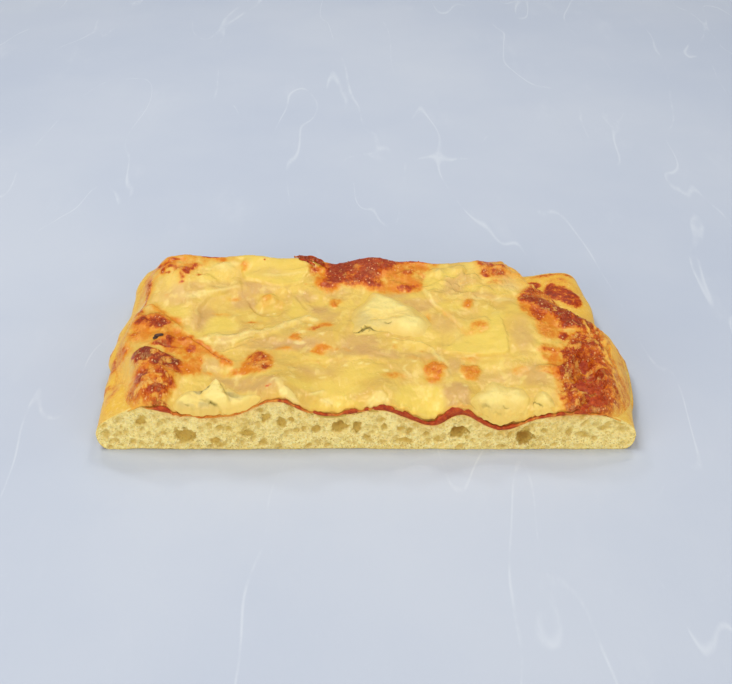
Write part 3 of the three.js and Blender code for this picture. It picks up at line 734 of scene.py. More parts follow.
cheeseTints = {
    "brown": [
        ("patch", 0.42, 4, blisterA),
        ("patch", 0.88, 1.8, [(-90, -22), (-88.4, -18.6), (-85.4, -17.6), (-82.4, -20), (-81.6, -24),
            (-83, -28.6), (-86, -29), (-88.6, -26.6)]),
        ("patch", 0.82, 2.4, [(-81, -22.4), (-77, -22.6), (-72, -25), (-70.8, -28), (-73.4, -31.4),
            (-78, -32.6), (-81.6, -31)]),
        *spots(0.66, 3, (-84.4, -38, 3.6, 4.4)), ("patch", 0.42, 4.5, clusterB),
        *spots(0.75, 2, (-87.7, -44, 1.4, 1.8), (-86.4, -48, 1.8, 2.4)),
        *spots(0.5, 2, (-76, -47, 2.4, 3.4), (-81, -49.2, 1.2, 1.2)),
        *spots(0.6, 1.4, (-88.2, -46, 1.4, 1.6), (-85.4, -49.6, 1.4, 1.2), (-78.4, -49, 1.8, 1.4)),
        *spots(0.45, 2.4, (-75.4, -42, 3, 4, 20), (-84.4, -53, 3, 1.4), (-72.8, -30, 2, 3)),
        ("patch", 0.16, 3, [(-87, -52), (-82.7, -52.2), (-75, -52.6), (-70, -54.6), (-70, -58),
            (-87, -58)]),
        *spots(0.35, 2.4, (-69, -32, 3, 3)), ("patch", 0.45, 3.5, blisterC),
        *spots(0.55, 2.4, (-91.3, 4.3, 1.8, 3), (-86.8, 2.8, 3.4, 2.8), (-83.2, 1, 2.6, 3)),
        *spots(0.5, 1.8, (-79.2, -4.6, 1.8, 1.6), (-72.4, -8, 3, 2, -50), (-68, -16, 2, 4, 10)),
        *spots(0.95, 1.6, (-76.8, -9.4, 1.6, 2.8), (-80.6, -13.4, 2.6, 1.7), (-77.8, -14.4, 2.4, 1.2)),
        ("line", 0.4, 1.2, [(-75.6, -13.4), (-71.6, -16.2), (-68.6, -18.4)]),
        ("line", 0.35, 0.9, [(-65.2, -20.7), (-63.4, -27), (-63.6, -34)]),
        ("line", 1, 1.3, [(-101.4, -20), (-102.4, -13), (-101.2, -6)]),
        ("line", 0.75, 1, [(-101.6, -24), (-100.8, -32), (-99.4, -40)]),
        ("patch", 0.55, 2, [(-101, -6.4), (-97, -9), (-93.4, -14), (-93, -19.6), (-96.6, -20.4),
            (-99.6, -19)]),
        ("line", 0.5, 1.3, [(-99.6, -4), (-99.2, 0.4), (-97.8, 5.1), (-95.6, 9)]),
        *spots(0.55, 2, (-95, 12, 3, 1.6), (-92, -4, 2, 2.4), (-95.6, -5, 1.6, 2), (-93, 4, 1.4, 2),
            (-96.6, -34, 1.4, 1.6), (-98, -38, 1.2, 1.6), (-96, -42, 1.2, 1.4)),
        *spots(0.75, 1.8, (-94, 38, 2, 3), (-92.6, 31.6, 1.4, 2.2), (-95.8, 44, 1.8, 1.8),
            (-96.6, 51, 2, 2), (-90.4, 46.6, 2, 1.4), (-91.4, 34.6, 1.2, 1.4)),
        *spots(0.75, 1, (-92.1, 27.9, 1.1, 2.2), (-85.3, 38.7, 0.9, 0.7), (-76.7, 38.4, 1.5, 1.5),
            (-74.6, 41.4, 0.9, 0.9)),
        *spots(0.66, 1.8, (-85.6, 45.9, 2.6, 1.8), (-78.8, 36, 1.6, 1.8, 30), (-78.2, 40.6, 4.2, 1.6, 10),
            (-74, 43.6, 2.4, 1.6), (-78.3, 32.2, 1, 1.2), (-88, 41, 1.4, 2.4), (-83, 49, 3, 1.2),
            (-83.7, 42.6, 2.6, 1.6), (-71, 38, 1.6, 1)),
        ("line", 0.85, 1.5, [(-88, 50.4), (-86.8, 54), (-82, 55), (-76, 54.6), (-71, 53.2), (-67, 52.6),
            (-62, 54.6)]),
        ("line", 0.5, 0.6, skinEdge),
        *spots(0.24, 2, (-66, 51.4, 4, 1.6, 12), (-83.3, 23.7, 1.4, 1.4), (-52.3, 45, 2.2, 3.2, 10)),
        *spots(0.12, 2, (-56.1, 23.2, 2, 1.3)),
        *spots(0.6, 0.8, (-44.4, 49, 0.7, 0.7), (-46, 4.9, 1.5, 0.6, -20)),
        ("line", 0.14, 1, [(-63.4, 11.4), (-59.1, 11), (-55.4, 10.4)]), ("line", 0.2, 0.9, slabO),
        ("line", 0.5, 0.5, creaseP), *spots(0.8, 0.7, (-53.2, -25.6, 0.8, 0.7)), ("patch", 0.55, 3, spotR),
        *spots(0.4, 1, (-39.9, -25.6, 1.4, 1.8), (-42.6, -26, 1, 1.2), (-38.4, -32, 1.3, 1.8),
            (-44.2, -23.6, 0.9, 0.9), (-41, -21.4, 1, 1.2), (-43, -29.4, 0.8, 0.8)),
        *spots(0.2, 1.4, (-47.1, -32.7, 2.8, 1.5), (-33.5, -35, 0.9, 0.8), (-30.6, -31, 2.2, 0.8, 42),
            (-33.9, -18.3, 1, 1.4), (-30.4, -18.2, 2.6, 1.2, -18)),
        *spots(0.6, 0.7, (-35.4, -48.6, 1.1, 0.9)),
        *spots(0.2, 1.6, (-28.6, -10, 1.8, 2.6, -50), (-26.4, -7, 1.6, 2.2, -60), (-18, -16.9, 2.8, 3.2)),
        ("line", 0.4, 1, [(-24.4, -3.2), (-20.1, -1.5), (-17.7, 0.4), (-14.4, 2)]),
        ("line", 0.2, 0.45, [(-26.1, -26.1), (-22.3, -24.6), (-18.5, -25.2), (-16.1, -26.9), (-13, -30)]),
        ("patch", 0.66, 5, backBand), *spots(0.8, 4, (-4, 53, 11, 6), (-12, 46, 6, 6), (8, 55, 9, 3)),
        ("line", 0.6, 2, [(-14, 52), (-2, 54), (12, 54.6), (26, 54)]),
        *spots(0.4, 3, (-14, 37, 4, 3), (2, 42, 5, 4)),
        *spots(0.5, 1.8, (22, 53, 6, 2.4), (17.7, 42.2, 3.4, 2.8), (16, 30, 2.8, 2.8), (9, 45.4, 4, 1.8),
            (39, 55, 3, 1.2), (1.4, 33.4, 2, 1.6)),
        ("line", 0.5, 0.9, [(15.7, 31.6), (19.6, 32.9), (24, 32.8)]),
        ("line", 0.32, 0.8, [(25.4, 44), (25.1, 41), (23.2, 36.4)]),
        *spots(0.2, 3.4, (10.4, 37, 5, 5), (20.7, 28.6, 4, 2.6)),
        *spots(0.45, 2, (75.4, -34, 1.8, 4), (78.4, 17.6, 2.2, 4.4, -10), (-22.4, 46.4, 2.6, 1.8)),
        *spots(0.4, 2.2, (-82.6, -42.4, 2.4, 2.8), (-85.2, -47.2, 1.6, 2), (-9, 34.8, 3, 1.8)),
        *spots(0.5, 1.8, (-22.5, 43.4, 1.6, 2.2), (-17.4, 32.3, 3, 2), (-13, 36, 2, 2)),
        *spots(0.2, 1.4, (-12.1, 20.1, 1.6, 2.8)), ("line", 0.2, 0.5, curveLine),
        *spots(0.3, 1, (-26, 33.5, 0.9, 0.9)),
        *spots(0.5, 1.5, (53, 51, 1.4, 1.6), (54.8, 46.9, 1.8, 1.6), (56.4, 42, 2.2, 1.8),
            (59.6, 46, 1.8, 1.8), (51.6, 41, 1.4, 1.8), (62, 49, 1.2, 1.6), (50, 47, 1, 1.4)),
        *spots(0.7, 1, (52.2, 39.3, 1.1, 1.2), (57.6, 52.4, 0.9, 0.7)),
        *spots(0.4, 3, (55, 44, 6, 5), (51, 50, 4, 3), (60.6, 41, 4, 3)),
        *spots(0.42, 2.4, (55, 35, 3.4, 2), (67.6, 43, 3, 2.4)),
        ("line", 0.5, 0.9, [(36, 55.4), (46, 54.6), (56, 54.8), (63, 52.6), (67, 47)]),
        *spots(0.34, 1.5, (42.8, 18.4, 1.5, 2.6, -10), (41.4, 15.2, 1, 1.5)),
        *spots(0.22, 1.4, (11.8, -14, 1.8, 1.9), (21.9, -16.3, 2, 0.9)),
        *spots(0.24, 2.4, (23.8, -25, 2.6, 2.6, -35), (27.2, -31.4, 3.4, 3.6, -20)),
        *spots(0.4, 1, (28, -32.2, 0.9, 0.9), (25, -30.4, 1.2, 0.8)),
        ("spot", 0.2, 3.4, 39.8, -31, 2.8, 4.6, 0), ("spot", 0.3, 2.4, 39.7, -28.6, 1.8, 2.6, 0),
        ("patch", 0.62, 3.4, redZone), *spots(0.75, 1.8, (78.4, -7.4, 1.6, 2.6), (82, -56, 7, 2.2)),
        *spots(0.42, 3, (69.4, 13, 3.4, 5), (70, 7, 2.6, 5)), *spots(0.6, 3, (80.4, 2, 3, 3)),
        ("line", 0.8, 1, [(89.8, -32.5), (93.1, -37.9), (96.2, -40.6), (97.2, -43.8)]),
        *spots(0.4, 1.6, (71.5, -17.4, 3, 1.4, -20)),
        ("line", 0.35, 0.8, [(66, -31), (69, -33), (72, -34)]), *spots(0.9, 2.2, (76, -32, 3.2, 3)),
        *spots(0.75, 2.2, (87.2, -45.8, 3, 3.4), (90, -12, 1.8, 2.6), (93.6, -15.5, 1.8, 2.6),
            (84.8, -14.3, 3, 2), (77.8, -19.5, 1.6, 1.6)),
        *spots(0.7, 2.6, (82.7, -42, 5, 4), (81, -55, 6, 1.8), (91.9, -48.4, 2.6, 2.6)),
        ("line", 0.7, 1.2, [(79, -25), (80.6, -30), (84, -37)]), ("line", 0.8, 0.9, lowStrand),
        ("line", 0.6, 1, [(86.4, -50), (84, -47), (81.4, -47.4)]), ("patch", 0.85, 3, sideTop),
        ("line", 0.7, 2.4, [(72, 29), (79, 24), (83, 17), (86, 8), (92, 3)]),
        *spots(0.35, 2.4, (76, 27, 4, 3, -30), (83, 11, 3, 7, -20)), ("line", 0.5, 0.8, highStrand),
        *spots(0.45, 1.4, (103.2, 0.7, 1.6, 2.4), (100.6, -12.9, 1.2, 2.4), (102, -34.2, 1.2, 2.4),
            (99, -38, 1, 2), (96, 3.4, 2.4, 1.2)),
        *spots(0.32, 2, (78.7, -4.2, 2.2, 2), (71.7, -17.6, 3, 1.8, -30), (68.3, -30, 3.2, 1.8)),
        *spots(0.12, 3, (72, 8, 4, 8), (72.4, -2, 4, 6)),
        ("line", 0.8, 1, [(67.6, 46), (70, 43.4), (73, 41)]),
        ("line", 0.12, 1, [(67, -28.6), (66.6, -22), (70, -16.7), (73.1, -13.2)]),
    ],
    "amber": [
        ("patch", 0.45, 3.4, amber), *spots(0.45, 4, (-88, -8, 6, 6), (-80, -40, 9, 12), (-78, -8, 5, 6)),
        *spots(0.5, 3, (-69, -31, 3, 3), (-52.2, 43.8, 2.4, 2.8), (-61, 49, 4, 2), (-16.5, 1.2, 3.4, 2.4),
            (-31.6, -17.6, 3, 2.2), (26.2, -33.6, 3.2, 3.6), (71.5, -20, 4, 6), (72, -28, 3, 6),
            (66, 14, 3, 5), (26, -36.6, 3, 2.6), (-53.4, -27, 3, 3)),
        *spots(0.14, 6, (-95, -3, 7, 14)),
        *spots(0.3, 5, (-96, -16, 5, 6), (-86, 3, 8, 8), (-94, -34, 3, 10), (-92, 38, 4, 12),
            (-80, 46, 9, 5)),
        *spots(0.7, 2.6, (-18, -16.9, 3.6, 3.8), (-47.1, -32.7, 3.4, 2), (39.8, -31.4, 3.3, 6),
            (25.8, -28.8, 4, 4.8, -50)),
        *spots(0.6, 3, (-41.2, -27.6, 6.4, 9), (-27.6, -9, 3, 3), (45.4, 0, 3.4, 4),
            (10.4, -35.4, 4.4, 2.4)),
        *spots(0.42, 2.6, (-53.5, -33, 3.4, 2), (-59.6, -32.9, 2, 2.4), (-12, -17.1, 5, 2),
            (58.2, -30.8, 3.6, 3), (42.6, 17.4, 3, 3.6), (-59.4, 11.2, 5, 1.2), (-12.4, 20, 2.6, 3.6),
            (-56.1, 23.2, 3, 2), (40.4, -22, 4, 1.6), (-46, 4.6, 3, 1.2)),
        ("patch", 0.5, 5, [(-20, 46), (-8, 56), (26, 56), (30, 48), (22, 40), (26, 30), (14, 26), (4, 28),
            (-8, 33), (-16, 28), (-22, 34)]),
        *spots(0.2, 4, (55, 45, 7, 7)), *spots(0.45, 5, (72.6, 8, 5, 11), (73, -4, 5, 8)),
        ("patch", 0.45, 4, goldRim), ("patch", 0.5, 5, redZone),
        *spots(0.25, 3, (98, -20, 4, 22), (73.7, -40.5, 2, 2.4)), ("patch", 0.3, 3, ringCore),
        ("spot", 0.4, 2, -41.6, 23.6, 2.2, 2.4, 0), *spots(0.25, 2, (-35.4, 19, 2.4, 4)),
        ("line", 0.45, 1.4, slabO), ("line", 0.5, 1.6, creaseP), ("line", 0.3, 1.4, domeEdge[4:]),
        ("line", 0.4, 1, curveLine), *spots(0.4, 1.4, (25.8, 7, 1.6, 4.4, 12)),
        ("line", 0.3, 1.6, [(27, -21), (22, -22), (14, -20)]),
    ],
    "red": [
        *spots(0.8, 1.8, (-80.6, -13.4, 2.8, 1.8), (-76.8, -9.4, 1.8, 3)),
        *spots(0.6, 2.4, (-85.9, -49, 2.4, 3), (-76, -49, 3, 3), (-75, -40, 3, 5, 20)),
        ("patch", 0.8, 2, [(-76, -52.2), (-72, -53.4), (-66, -56), (-66, -60), (-80, -60), (-80, -54)]),
        *spots(0.35, 3, (-84, 3, 5, 3), (-79, -27, 4, 5)), ("patch", 0.6, 4, backBand),
        ("patch", 0.7, 3, redZone),
        *spots(0.7, 3, (82.6, -42, 6, 5), (81, -55, 8, 3), (79, -27, 3, 6, 15), (84, -15, 4, 3)),
        ("patch", 0.55, 2.6, sideTop),
        *spots(0.4, 2, (16, 30, 3, 2.6), (17.6, 42, 3.4, 2.8), (78.7, -4.2, 2, 2)),
        *spots(0.45, 1.4, (-39.6, -26, 1.8, 2), (-38.4, -32, 1.4, 2), (-35.4, -48.7, 1.2, 1),
            (28, -32, 1.2, 1.2), (-42, -23, 1.6, 2)),
        ("line", 0.3, 0.9, [(-24, -3), (-20, -1.4), (-14.6, 2)]),
    ],
    # cream-white streaks of the cheese, and painted highlights: pale spots and lines that stand for glints on
    # ridges and blisters, and light on the right rim's dim side
    "pale": [
        ("line", 0.6, 0.8, [(-98.4, -25), (-97.8, -32), (-96.4, -39)]),
        *spots(0.5, 1, (-97, 1, 1, 3), (-95.4, -13, 1.6, 1)),
        *spots(0.8, 1.6, (103.4, -19, 1.6, 5), (102.4, -27, 1.2, 3), (99, -24, 1.2, 3)),
        ("patch", 0.72, 1.8, archPatch),
        ("line", 0.7, 0.7, [(-35.5, -46.8), (-33.4, -44.2), (-31.5, -49), (-31, -53)]),
        ("line", 0.8, 0.6, frontThread), ("line", 0.75, 0.5, [(-28.8, -40.8), (-26.1, -40.4)]),
        ("line", 0.6, 0.5, [(-18, -36.4), (-15.1, -35.4)]), ("patch", 0.6, 2.4, toothPatch),
        *spots(0.6, 1.6, (-14.2, -50, 2.6, 1.4), (-84.5, -26.6, 2.4, 2.4), (-74.9, -33.4, 2, 1.6),
            (-73.4, -26, 1.2, 1.2)),
        *spots(0.8, 0.8, (-44.4, -28.4, 1, 1), (-42, -32, 1.2, 0.9), (-38.8, -35.8, 1.3, 0.9),
            (-8.1, -27.4, 0.9, 0.7), (-1.9, -27.3, 1, 0.7), (0.6, -28.2, 0.8, 0.6), (7.6, -31.8, 1.2, 1.2),
            (36.3, -35.1, 0.7, 0.8)),
        *spots(0.8, 0.8, (37, -41.5, 0.8, 0.8), (18.5, -24.8, 0.8, 0.6), (40, -20.9, 2, 0.5),
            (11.6, -11.8, 1, 0.8), (-64.7, -8.2, 2.4, 1.2), (-21.1, 4.4, 2, 1.4), (-22.3, -0.2, 1.2, 1.2),
            (-25.8, -6, 1.8, 1, 30)),
        *spots(0.7, 1, (-26.3, -13.2, 2, 1.4, 20), (-17.5, -6.6, 1.2, 0.8), (-24.4, 7.2, 1.4, 0.9),
            (-40.2, 12, 0.8, 1), (-43.4, 14.4, 0.6, 0.9), (-37.8, 13.2, 0.7, 0.7), (0, 43, 1.2, 1),
            (4, 38.6, 1.4, 1.2)),
        ("line", 0.35, 2, ridgeTop), ("line", 0.5, 0.8, ridgeTop),
        ("line", 0.4, 0.9, [(-62, -11), (-56, -11), (-51, -9.4), (-45, -6)]),
        ("line", 0.5, 0.8, [(-70, 26.6), (-66, 25.4), (-61, 28), (-57, 29.6), (-53, 30)]),
        *spots(0.4, 3, (-60.9, 43.8, 4, 3), (-58.1, 46.4, 2, 2), (-71.6, 23.8, 7, 2, 4),
            (-81.4, 42.4, 2.4, 1.8), (-76.2, 46.3, 3.4, 1.8)),
        ("line", 0.55, 0.45, [(10, -7.4), (13.5, -8.4)]),
        ("line", 0.65, 0.45, [(20.4, -10.2), (23.6, -12.2)]),
        ("line", 0.55, 0.8, [(25.6, -15.4), (28.7, -21.2), (30, -26.7), (32, -33)]),
        ("line", 0.65, 0.5, [(16, -26.6), (14.6, -28.6), (14.6, -31), (16.6, -34)]),
        ("line", 0.7, 0.4, [(68.2, 43), (69.6, 36), (71.2, 28)]),
        *spots(0.45, 2, (46.8, 21.7, 3, 1.4), (56.8, 21.8, 4, 1.6), (62, 32, 4, 3), (62.6, 40, 2, 4)),
        ("line", 0.6, 0.8, [(23.9, 30.5), (25.6, 24.4), (28.6, 17.4), (31, 13.4)]),
        ("line", 0.45, 0.8, [(33.8, 8.6), (36.4, 3.8), (39, -1)]),
        *spots(0.75, 1, (80.2, -24.4, 0.8, 2, 15), (81.7, -29.6, 1, 1.6), (85.2, -32.4, 1.8, 1.4),
            (77.4, -40.2, 2, 1.2), (85.4, -43, 0.8, 1.4), (74.4, -52.8, 1.8, 1.2), (80.6, -51, 1.6, 1),
            (84.6, -52.6, 1.8, 1.2)),
        *spots(0.5, 1.6, (-80.2, -44.4, 3, 2.4), (-78, -46, 1.6, 1.4), (-84.6, -52, 1, 0.8),
            (-82, -46.8, 1, 0.8), (-76, -48, 0.8, 0.8), (-90, 2, 0.8, 0.8)),
        ("line", 0.4, 0.8, [(-44.6, 38.5), (-34.9, 40.4), (-24.3, 42)]),
    ],
    "beige": [
        # the first patch is painted shade below the back slab's edge; the rest is the cheese's own
        # translucent beige
        ("patch", 0.8, 3, [(-51.6, 34), (-44.2, 33.4), (-37, 31.6), (-40.5, 27.9), (-48.1, 27)]),
        *spots(0.7, 4, (-26, 24, 4, 4), (-19.6, 14, 4, 4), (-62, 31.6, 5, 3.4), (-71, 30, 4, 3),
            (-26, -13, 9, 4), (-33, -16, 6, 3)),
        ("patch", 0.8, 3, beigeFront),
        ("patch", 0.7, 5, [(-56, -34), (-46, -38), (-34, -42), (-30, -47), (-40, -50), (-50, -44),
            (-58, -38)]),
        *spots(0.7, 4, (-2, -12, 8, 6), (-6, -18, 8, 4), (6, -20, 8, 4), (20, 17, 8, 5), (12, 25, 5, 3)),
        *spots(0.6, 5, (36, 30, 5, 6), (40, 36, 5, 4), (-54, -5, 7, 4, 30), (62, -8, 4, 12),
            (64, -34, 5, 8), (34, -27, 4, 5), (22, -20, 6, 3), (48, 24, 6, 3), (-58, -14, 6, 3, 40),
            (-40, -12, 8, 3, 20), (60, 36, 5, 6)),
        *spots(0.8, 4, (-51, 22, 5, 6), (-27, -15, 8, 4), (-41, 41, 8, 3), (-66, 8, 4, 8)),
        *spots(0.5, 6, (-78, 24, 7, 7), (-12, 27, 5, 5), (-36, -50, 5, 3), (50, -34, 10, 4),
            (31, 3, 5, 8, 30), (-60, -28, 6, 6), (-20, -32, 8, 3), (4, 33, 5, 3), (-16, 8, 5, 5)),
    ],
    # yellower, smoother cheese; some of these patches are painted light, lifting slopes that the lamps leave
    # darker
    "bright": [
        *spots(0.7, 3, (-24.5, -44, 4, 3), (36, 42, 4, 5), (30, 33, 3, 5), (46, 31, 4, 3), (54, 36, 4, 3)),
        ("patch", 0.85, 4, cheeseSlice), ("patch", 0.8, 4, mound), ("patch", 0.6, 4, backSlab),
        ("patch", 0.85, 3, lightFront),
        *spots(0.6, 5, (-29, 15, 4, 8), (-78, 12, 6, 5, -40), (-12, -44, 10, 6), (28, 34, 5, 8),
            (52, 10, 6, 5)),
        *spots(0.5, 4, (-67, 35, 5, 5), (34, 14, 5, 4), (42, 0, 5, 4), (32, 44, 6, 7), (0, -34, 10, 5),
            (62, 14, 4, 4), (-10, -53, 9, 2), (-46, 8, 5, 3), (46, 46, 5, 5), (58, 28, 7, 3)),
    ],
    "smooth": [
        ("patch", 0.9, 3, cheeseSlice), ("patch", 0.85, 4, mound), ("patch", 0.9, 3, backSlab),
        ("patch", 0.8, 4, lightFront),
        *spots(0.7, 5, (-29, 15, 5, 9), (-78, 12, 7, 6, -40), (-10, -40, 14, 9), (52, -6, 14, 16),
            (60, 0, 6, 20)),
        *spots(0.6, 4, (-72, -26, 5, 8), (-41, 20, 7, 9), (-60, 14, 7, 8), (34, -6, 6, 8),
            (10, 20, 12, 10)),
    ],
    "shade": [  # painted shade in the fine folds, where the cheese dips
        ("line", 0.35, 0.9, backFold), ("line", 0.9, 0.7, ring[:5]), ("line", 0.5, 2.2, ring[:6]),
        ("line", 0.35, 1.6, ring[5:10]), ("line", 0.6, 0.6, ringFold), ("line", 0.75, 0.5, ridgeLow),
        ("line", 0.5, 0.6, [(-51, -8.4), (-45, -5.6), (-40, -4.6), (-36, -3.8)]),
        ("line", 0.6, 0.7, [(28, -15.6), (31, -18.6), (36.6, -20.2), (43.5, -21), (52.1, -20.8),
            (55, -20.2)]),
        ("line", 0.35, 2.2, moundEdge),
        ("line", 0.45, 0.8, [(22.7, 29.6), (24.2, 23.6), (27.4, 16.2), (30, 12)]),
        ("line", 0.5, 0.8, domeEdge[6:]), ("line", 0.35, 0.8, [(-60, -4), (-52, -3), (-46, -1)]),
        ("line", 0.4, 0.7, [(-50.4, 33), (-44, 33.6), (-36, 31), (-29, 33.6)]),
        ("line", 0.35, 0.6, [(11, -6.6), (16, -8), (22, -9.4), (26, -12.6)]),
        ("line", 0.4, 0.6, [(45, 22), (50, 19.4), (56, 22)]),
        ("line", 0.35, 0.6, [(-65, 13), (-66.6, 8.3), (-66.9, 3.7)]),
        *spots(0.5, 0.7, (-6.2, -17.4, 1.2, 0.7), (1.4, -19.8, 0.8, 0.7)), ("line", 0.3, 0.8, frontRound),
        ("line", 0.3, 0.7, [(46, 20), (44, 14), (46, 8)]),
        ("line", 0.35, 0.7, [(-96, 30), (-93.6, 20), (-93, 10)]), *spots(0.4, 2, (-30, -18, 4, 1.6)),
        ("line", 0.3, 0.7, [(58, 34), (64, 30), (70, 30)]),
    ],
    "grain": [
        ("patch", 0.95, 4, blisterA), ("patch", 1, 4, clusterB), ("patch", 0.95, 3.5, blisterC),
        ("spot", 0.8, 5, -96, 0, 6, 16, 0), ("patch", 0.8, 3, spotR), ("patch", 0.5, 5, backBand),
        ("patch", 0.95, 4, redZone), ("patch", 0.95, 3, sideTop), ("patch", 1, 4, goldRim),
        ("line", 0.8, 1.5, ridgeTop), ("line", 0.6, 1.4, ridgeLow),
        *spots(0.6, 4, (-78, 40, 8, 6), (55, 44, 7, 7), (-93, 38, 3, 11), (16, 40, 8, 9), (-80, -9, 5, 7)),
        *spots(0.6, 2, (68.6, -29.6, 4, 2.4, -10), (72, -17, 4, 2.4, -30)),
        *spots(0.5, 3, (-97, -14, 4, 6), (-97, 4, 3, 5), (-96, -36, 2, 8), (97.6, -22, 4, 22),
            (70, -3, 5, 7), (26, -29, 4, 5), (39.8, -31, 4, 5), (42.6, 17, 3, 4), (-27, -9, 3, 3)),
        *spots(0.35, 4, (-62, 34, 10, 9), (38, 26, 10, 9), (-50, -46, 6, 3), (-4, -27, 10, 2.4),
            (-22, -6, 8, 4), (40, 40, 9, 9), (58, 30, 8, 5), (-86, 30, 5, 8), (-36, -40, 8, 4),
            (60, -24, 6, 5)),
    ],
}

cheeseSoftness = {"brown": 1.5, "red": 1.5, "amber": 1.5}
crispTints = ("shade", "pale", "smooth", "bright")  # these keep their outlines, the others wander

cheeseFolds = [  # rises and dips with true outlines, in millimetres
    ("ledge", 0.9, 0.7, 9, creaseP[::-1]), ("line", -0.6, 0.6, creaseP),
    ("ledge", 1.1, 3, 12, moundEdge[::-1]), ("patch", -0.8, 3.4, ring), ("patch", 1.5, 4, ringCore),
    ("line", -0.4, 0.8, backFold), ("line", -0.6, 0.7, ring[:5]), ("line", 0.55, 2.4, ridgeTop),
    ("line", -0.5, 0.7, ridgeLow), ("ledge", 0.8, 1.4, 12, backSlab[1:10]),
    ("ledge", 1.0, 0.8, 18, sliceEdge), ("ledge", 0.6, 1.2, 12, domeEdge), ("ledge", 0.6, 1, 12, domeBack),
    ("line", 0.4, 0.6, domeBack[3:]), ("ledge", 0.5, 3, 12, rightSlab),
    ("ledge", 0.6, 1.4, 9, frontRound[::-1]), ("line", 0.5, 0.6, frontThread),
    ("patch", 0.8, 1.4, archPatch), ("patch", 0.8, 2, toothPatch), ("ledge", 0.5, 0.9, 9, patchEdge),
    ("line", -0.4, 0.6, ringFold), ("line", 0.5, 0.8, curveLine), ("line", 0.9, 0.8, lowStrand),
    ("line", 0.8, 0.9, highStrand), ("ledge", 0.7, 1.2, 9, slabO[::-1]), ("line", 0.5, 0.6, skinEdge),
]
cheeseRelief = [
    ("patch", 1.1, 3.5, blisterA),
    *spots(0.9, 4, (-79.2, -25, 5, 5), (-85, -21, 4, 5), (-84, -44, 4, 5), (-77, -38, 4, 4),
        (-79, -50, 5, 3)),
    ("patch", 0.6, 4, clusterB), ("patch", 0.8, 3, blisterC), ("patch", 0.7, 6, backBand),
    *spots(-2, 3, (-14.5, 56, 4, 5)), ("spot", 1.3, 4, 54, 50, 7, 8, 0), ("spot", -1.5, 3, 64, 52, 4, 7, 0),
    ("patch", 0.8, 3, sideTop),
    *spots(1, 2.6, (76, -32, 3.4, 3), (77, -48.5, 4.2, 4), (82, -42, 5, 4), (87.4, -46, 3.4, 4),
        (84, -33, 3, 3), (90, -14, 2.6, 4), (84, -16, 4, 3), (79, -27, 2, 4)),
    *spots(-0.7, 2, (80.4, -36, 1.6, 2.6), (84, -50, 3, 1.4), (73, -36, 1.6, 2)),
    *spots(0.6, 2.4, (-41, -27, 4.6, 6), (27, -31, 3.6, 4), (39.8, -31, 3.6, 5), (43, 17.5, 2, 3),
        (46, 2, 4, 5), (55, 44, 5, 5), (52, 40, 2.4, 2), (60, 45, 2.4, 2), (17, 41, 3.4, 3),
        (16, 31, 3, 3)),
    *spots(0.7, 3, (-77, 39, 4, 3), (-85, 43, 3, 3), (-93.4, 38, 3, 8, -10), (-52.3, 45, 2.6, 3),
        (-95, 44, 3, 3), (-94, 30, 2.6, 4), (-88, 50, 4, 3), (-97, -14, 3.6, 5), (-97, 5, 3, 4),
        (-98, -4, 3, 4), (-95, 12, 3, 3), (-92, 2, 3, 4), (-81, -8, 4, 5), (-62, 42, 5, 4), (-68, 34, 4, 4),
        (32, 30, 5, 6), (36, 42, 6, 6), (70, -29.6, 3.6, 2)),
    *spots(0.8, 2.4, (-79, -10, 3.4, 3), (34, 36, 3, 3), (40, 45, 3, 4), (46, 38, 3, 3), (50, 29, 3, 2.4),
        (29, 24, 2.4, 3.4), (58, 37, 3, 3), (30, 44, 3, 3), (42, 24, 3, 2.4)),
    *spots(-0.5, 2, (37, 40, 2, 2), (44, 42, 2, 2), (51, 34, 2, 2), (38, 30, 3, 1.6)),
    *spots(-0.5, 3, (-72, 40, 3, 4), (-62, 33, 5, 3), (26, 37, 3, 5), (42, 31, 4, 4), (-20, 20, 4, 5),
        (6, -24, 5, 4), (-48, -20, 5, 4), (60, -20, 4, 5), (-38, -14, 6, 3)),
]


def creases(x, y, size, seed):  # -1 to 1: soft rounded folds that meet in narrow valleys
    wx, wy = ragged(x, y, 0.25 * size, size, seed)
    return 2 * np.sqrt(np.abs(softNoise(wx, wy, size, seed + 1, 2)) + 0.01) - 1


def wrinkles(x, y):  # the skin that shrank over the right rim, in folds along the rim
    wx, wy = ragged(x, y, 0.6, 4, 55)
    folds = creases(wx + 0.12 * wy, wy * 0.22, 2.4, 56) + 0.5 * creases(wx, wy * 0.4, 1.2, 57)
    return layered([("patch", 1, 4, goldRim), ("spot", 0.5, 6, 95, -34, 6, 14, 0)], x, y) * folds * 0.75


blisters = {"big": (4.4, 7), "small": (1.9, 8), "fine": (0.95, 9)}  # grain size and seed


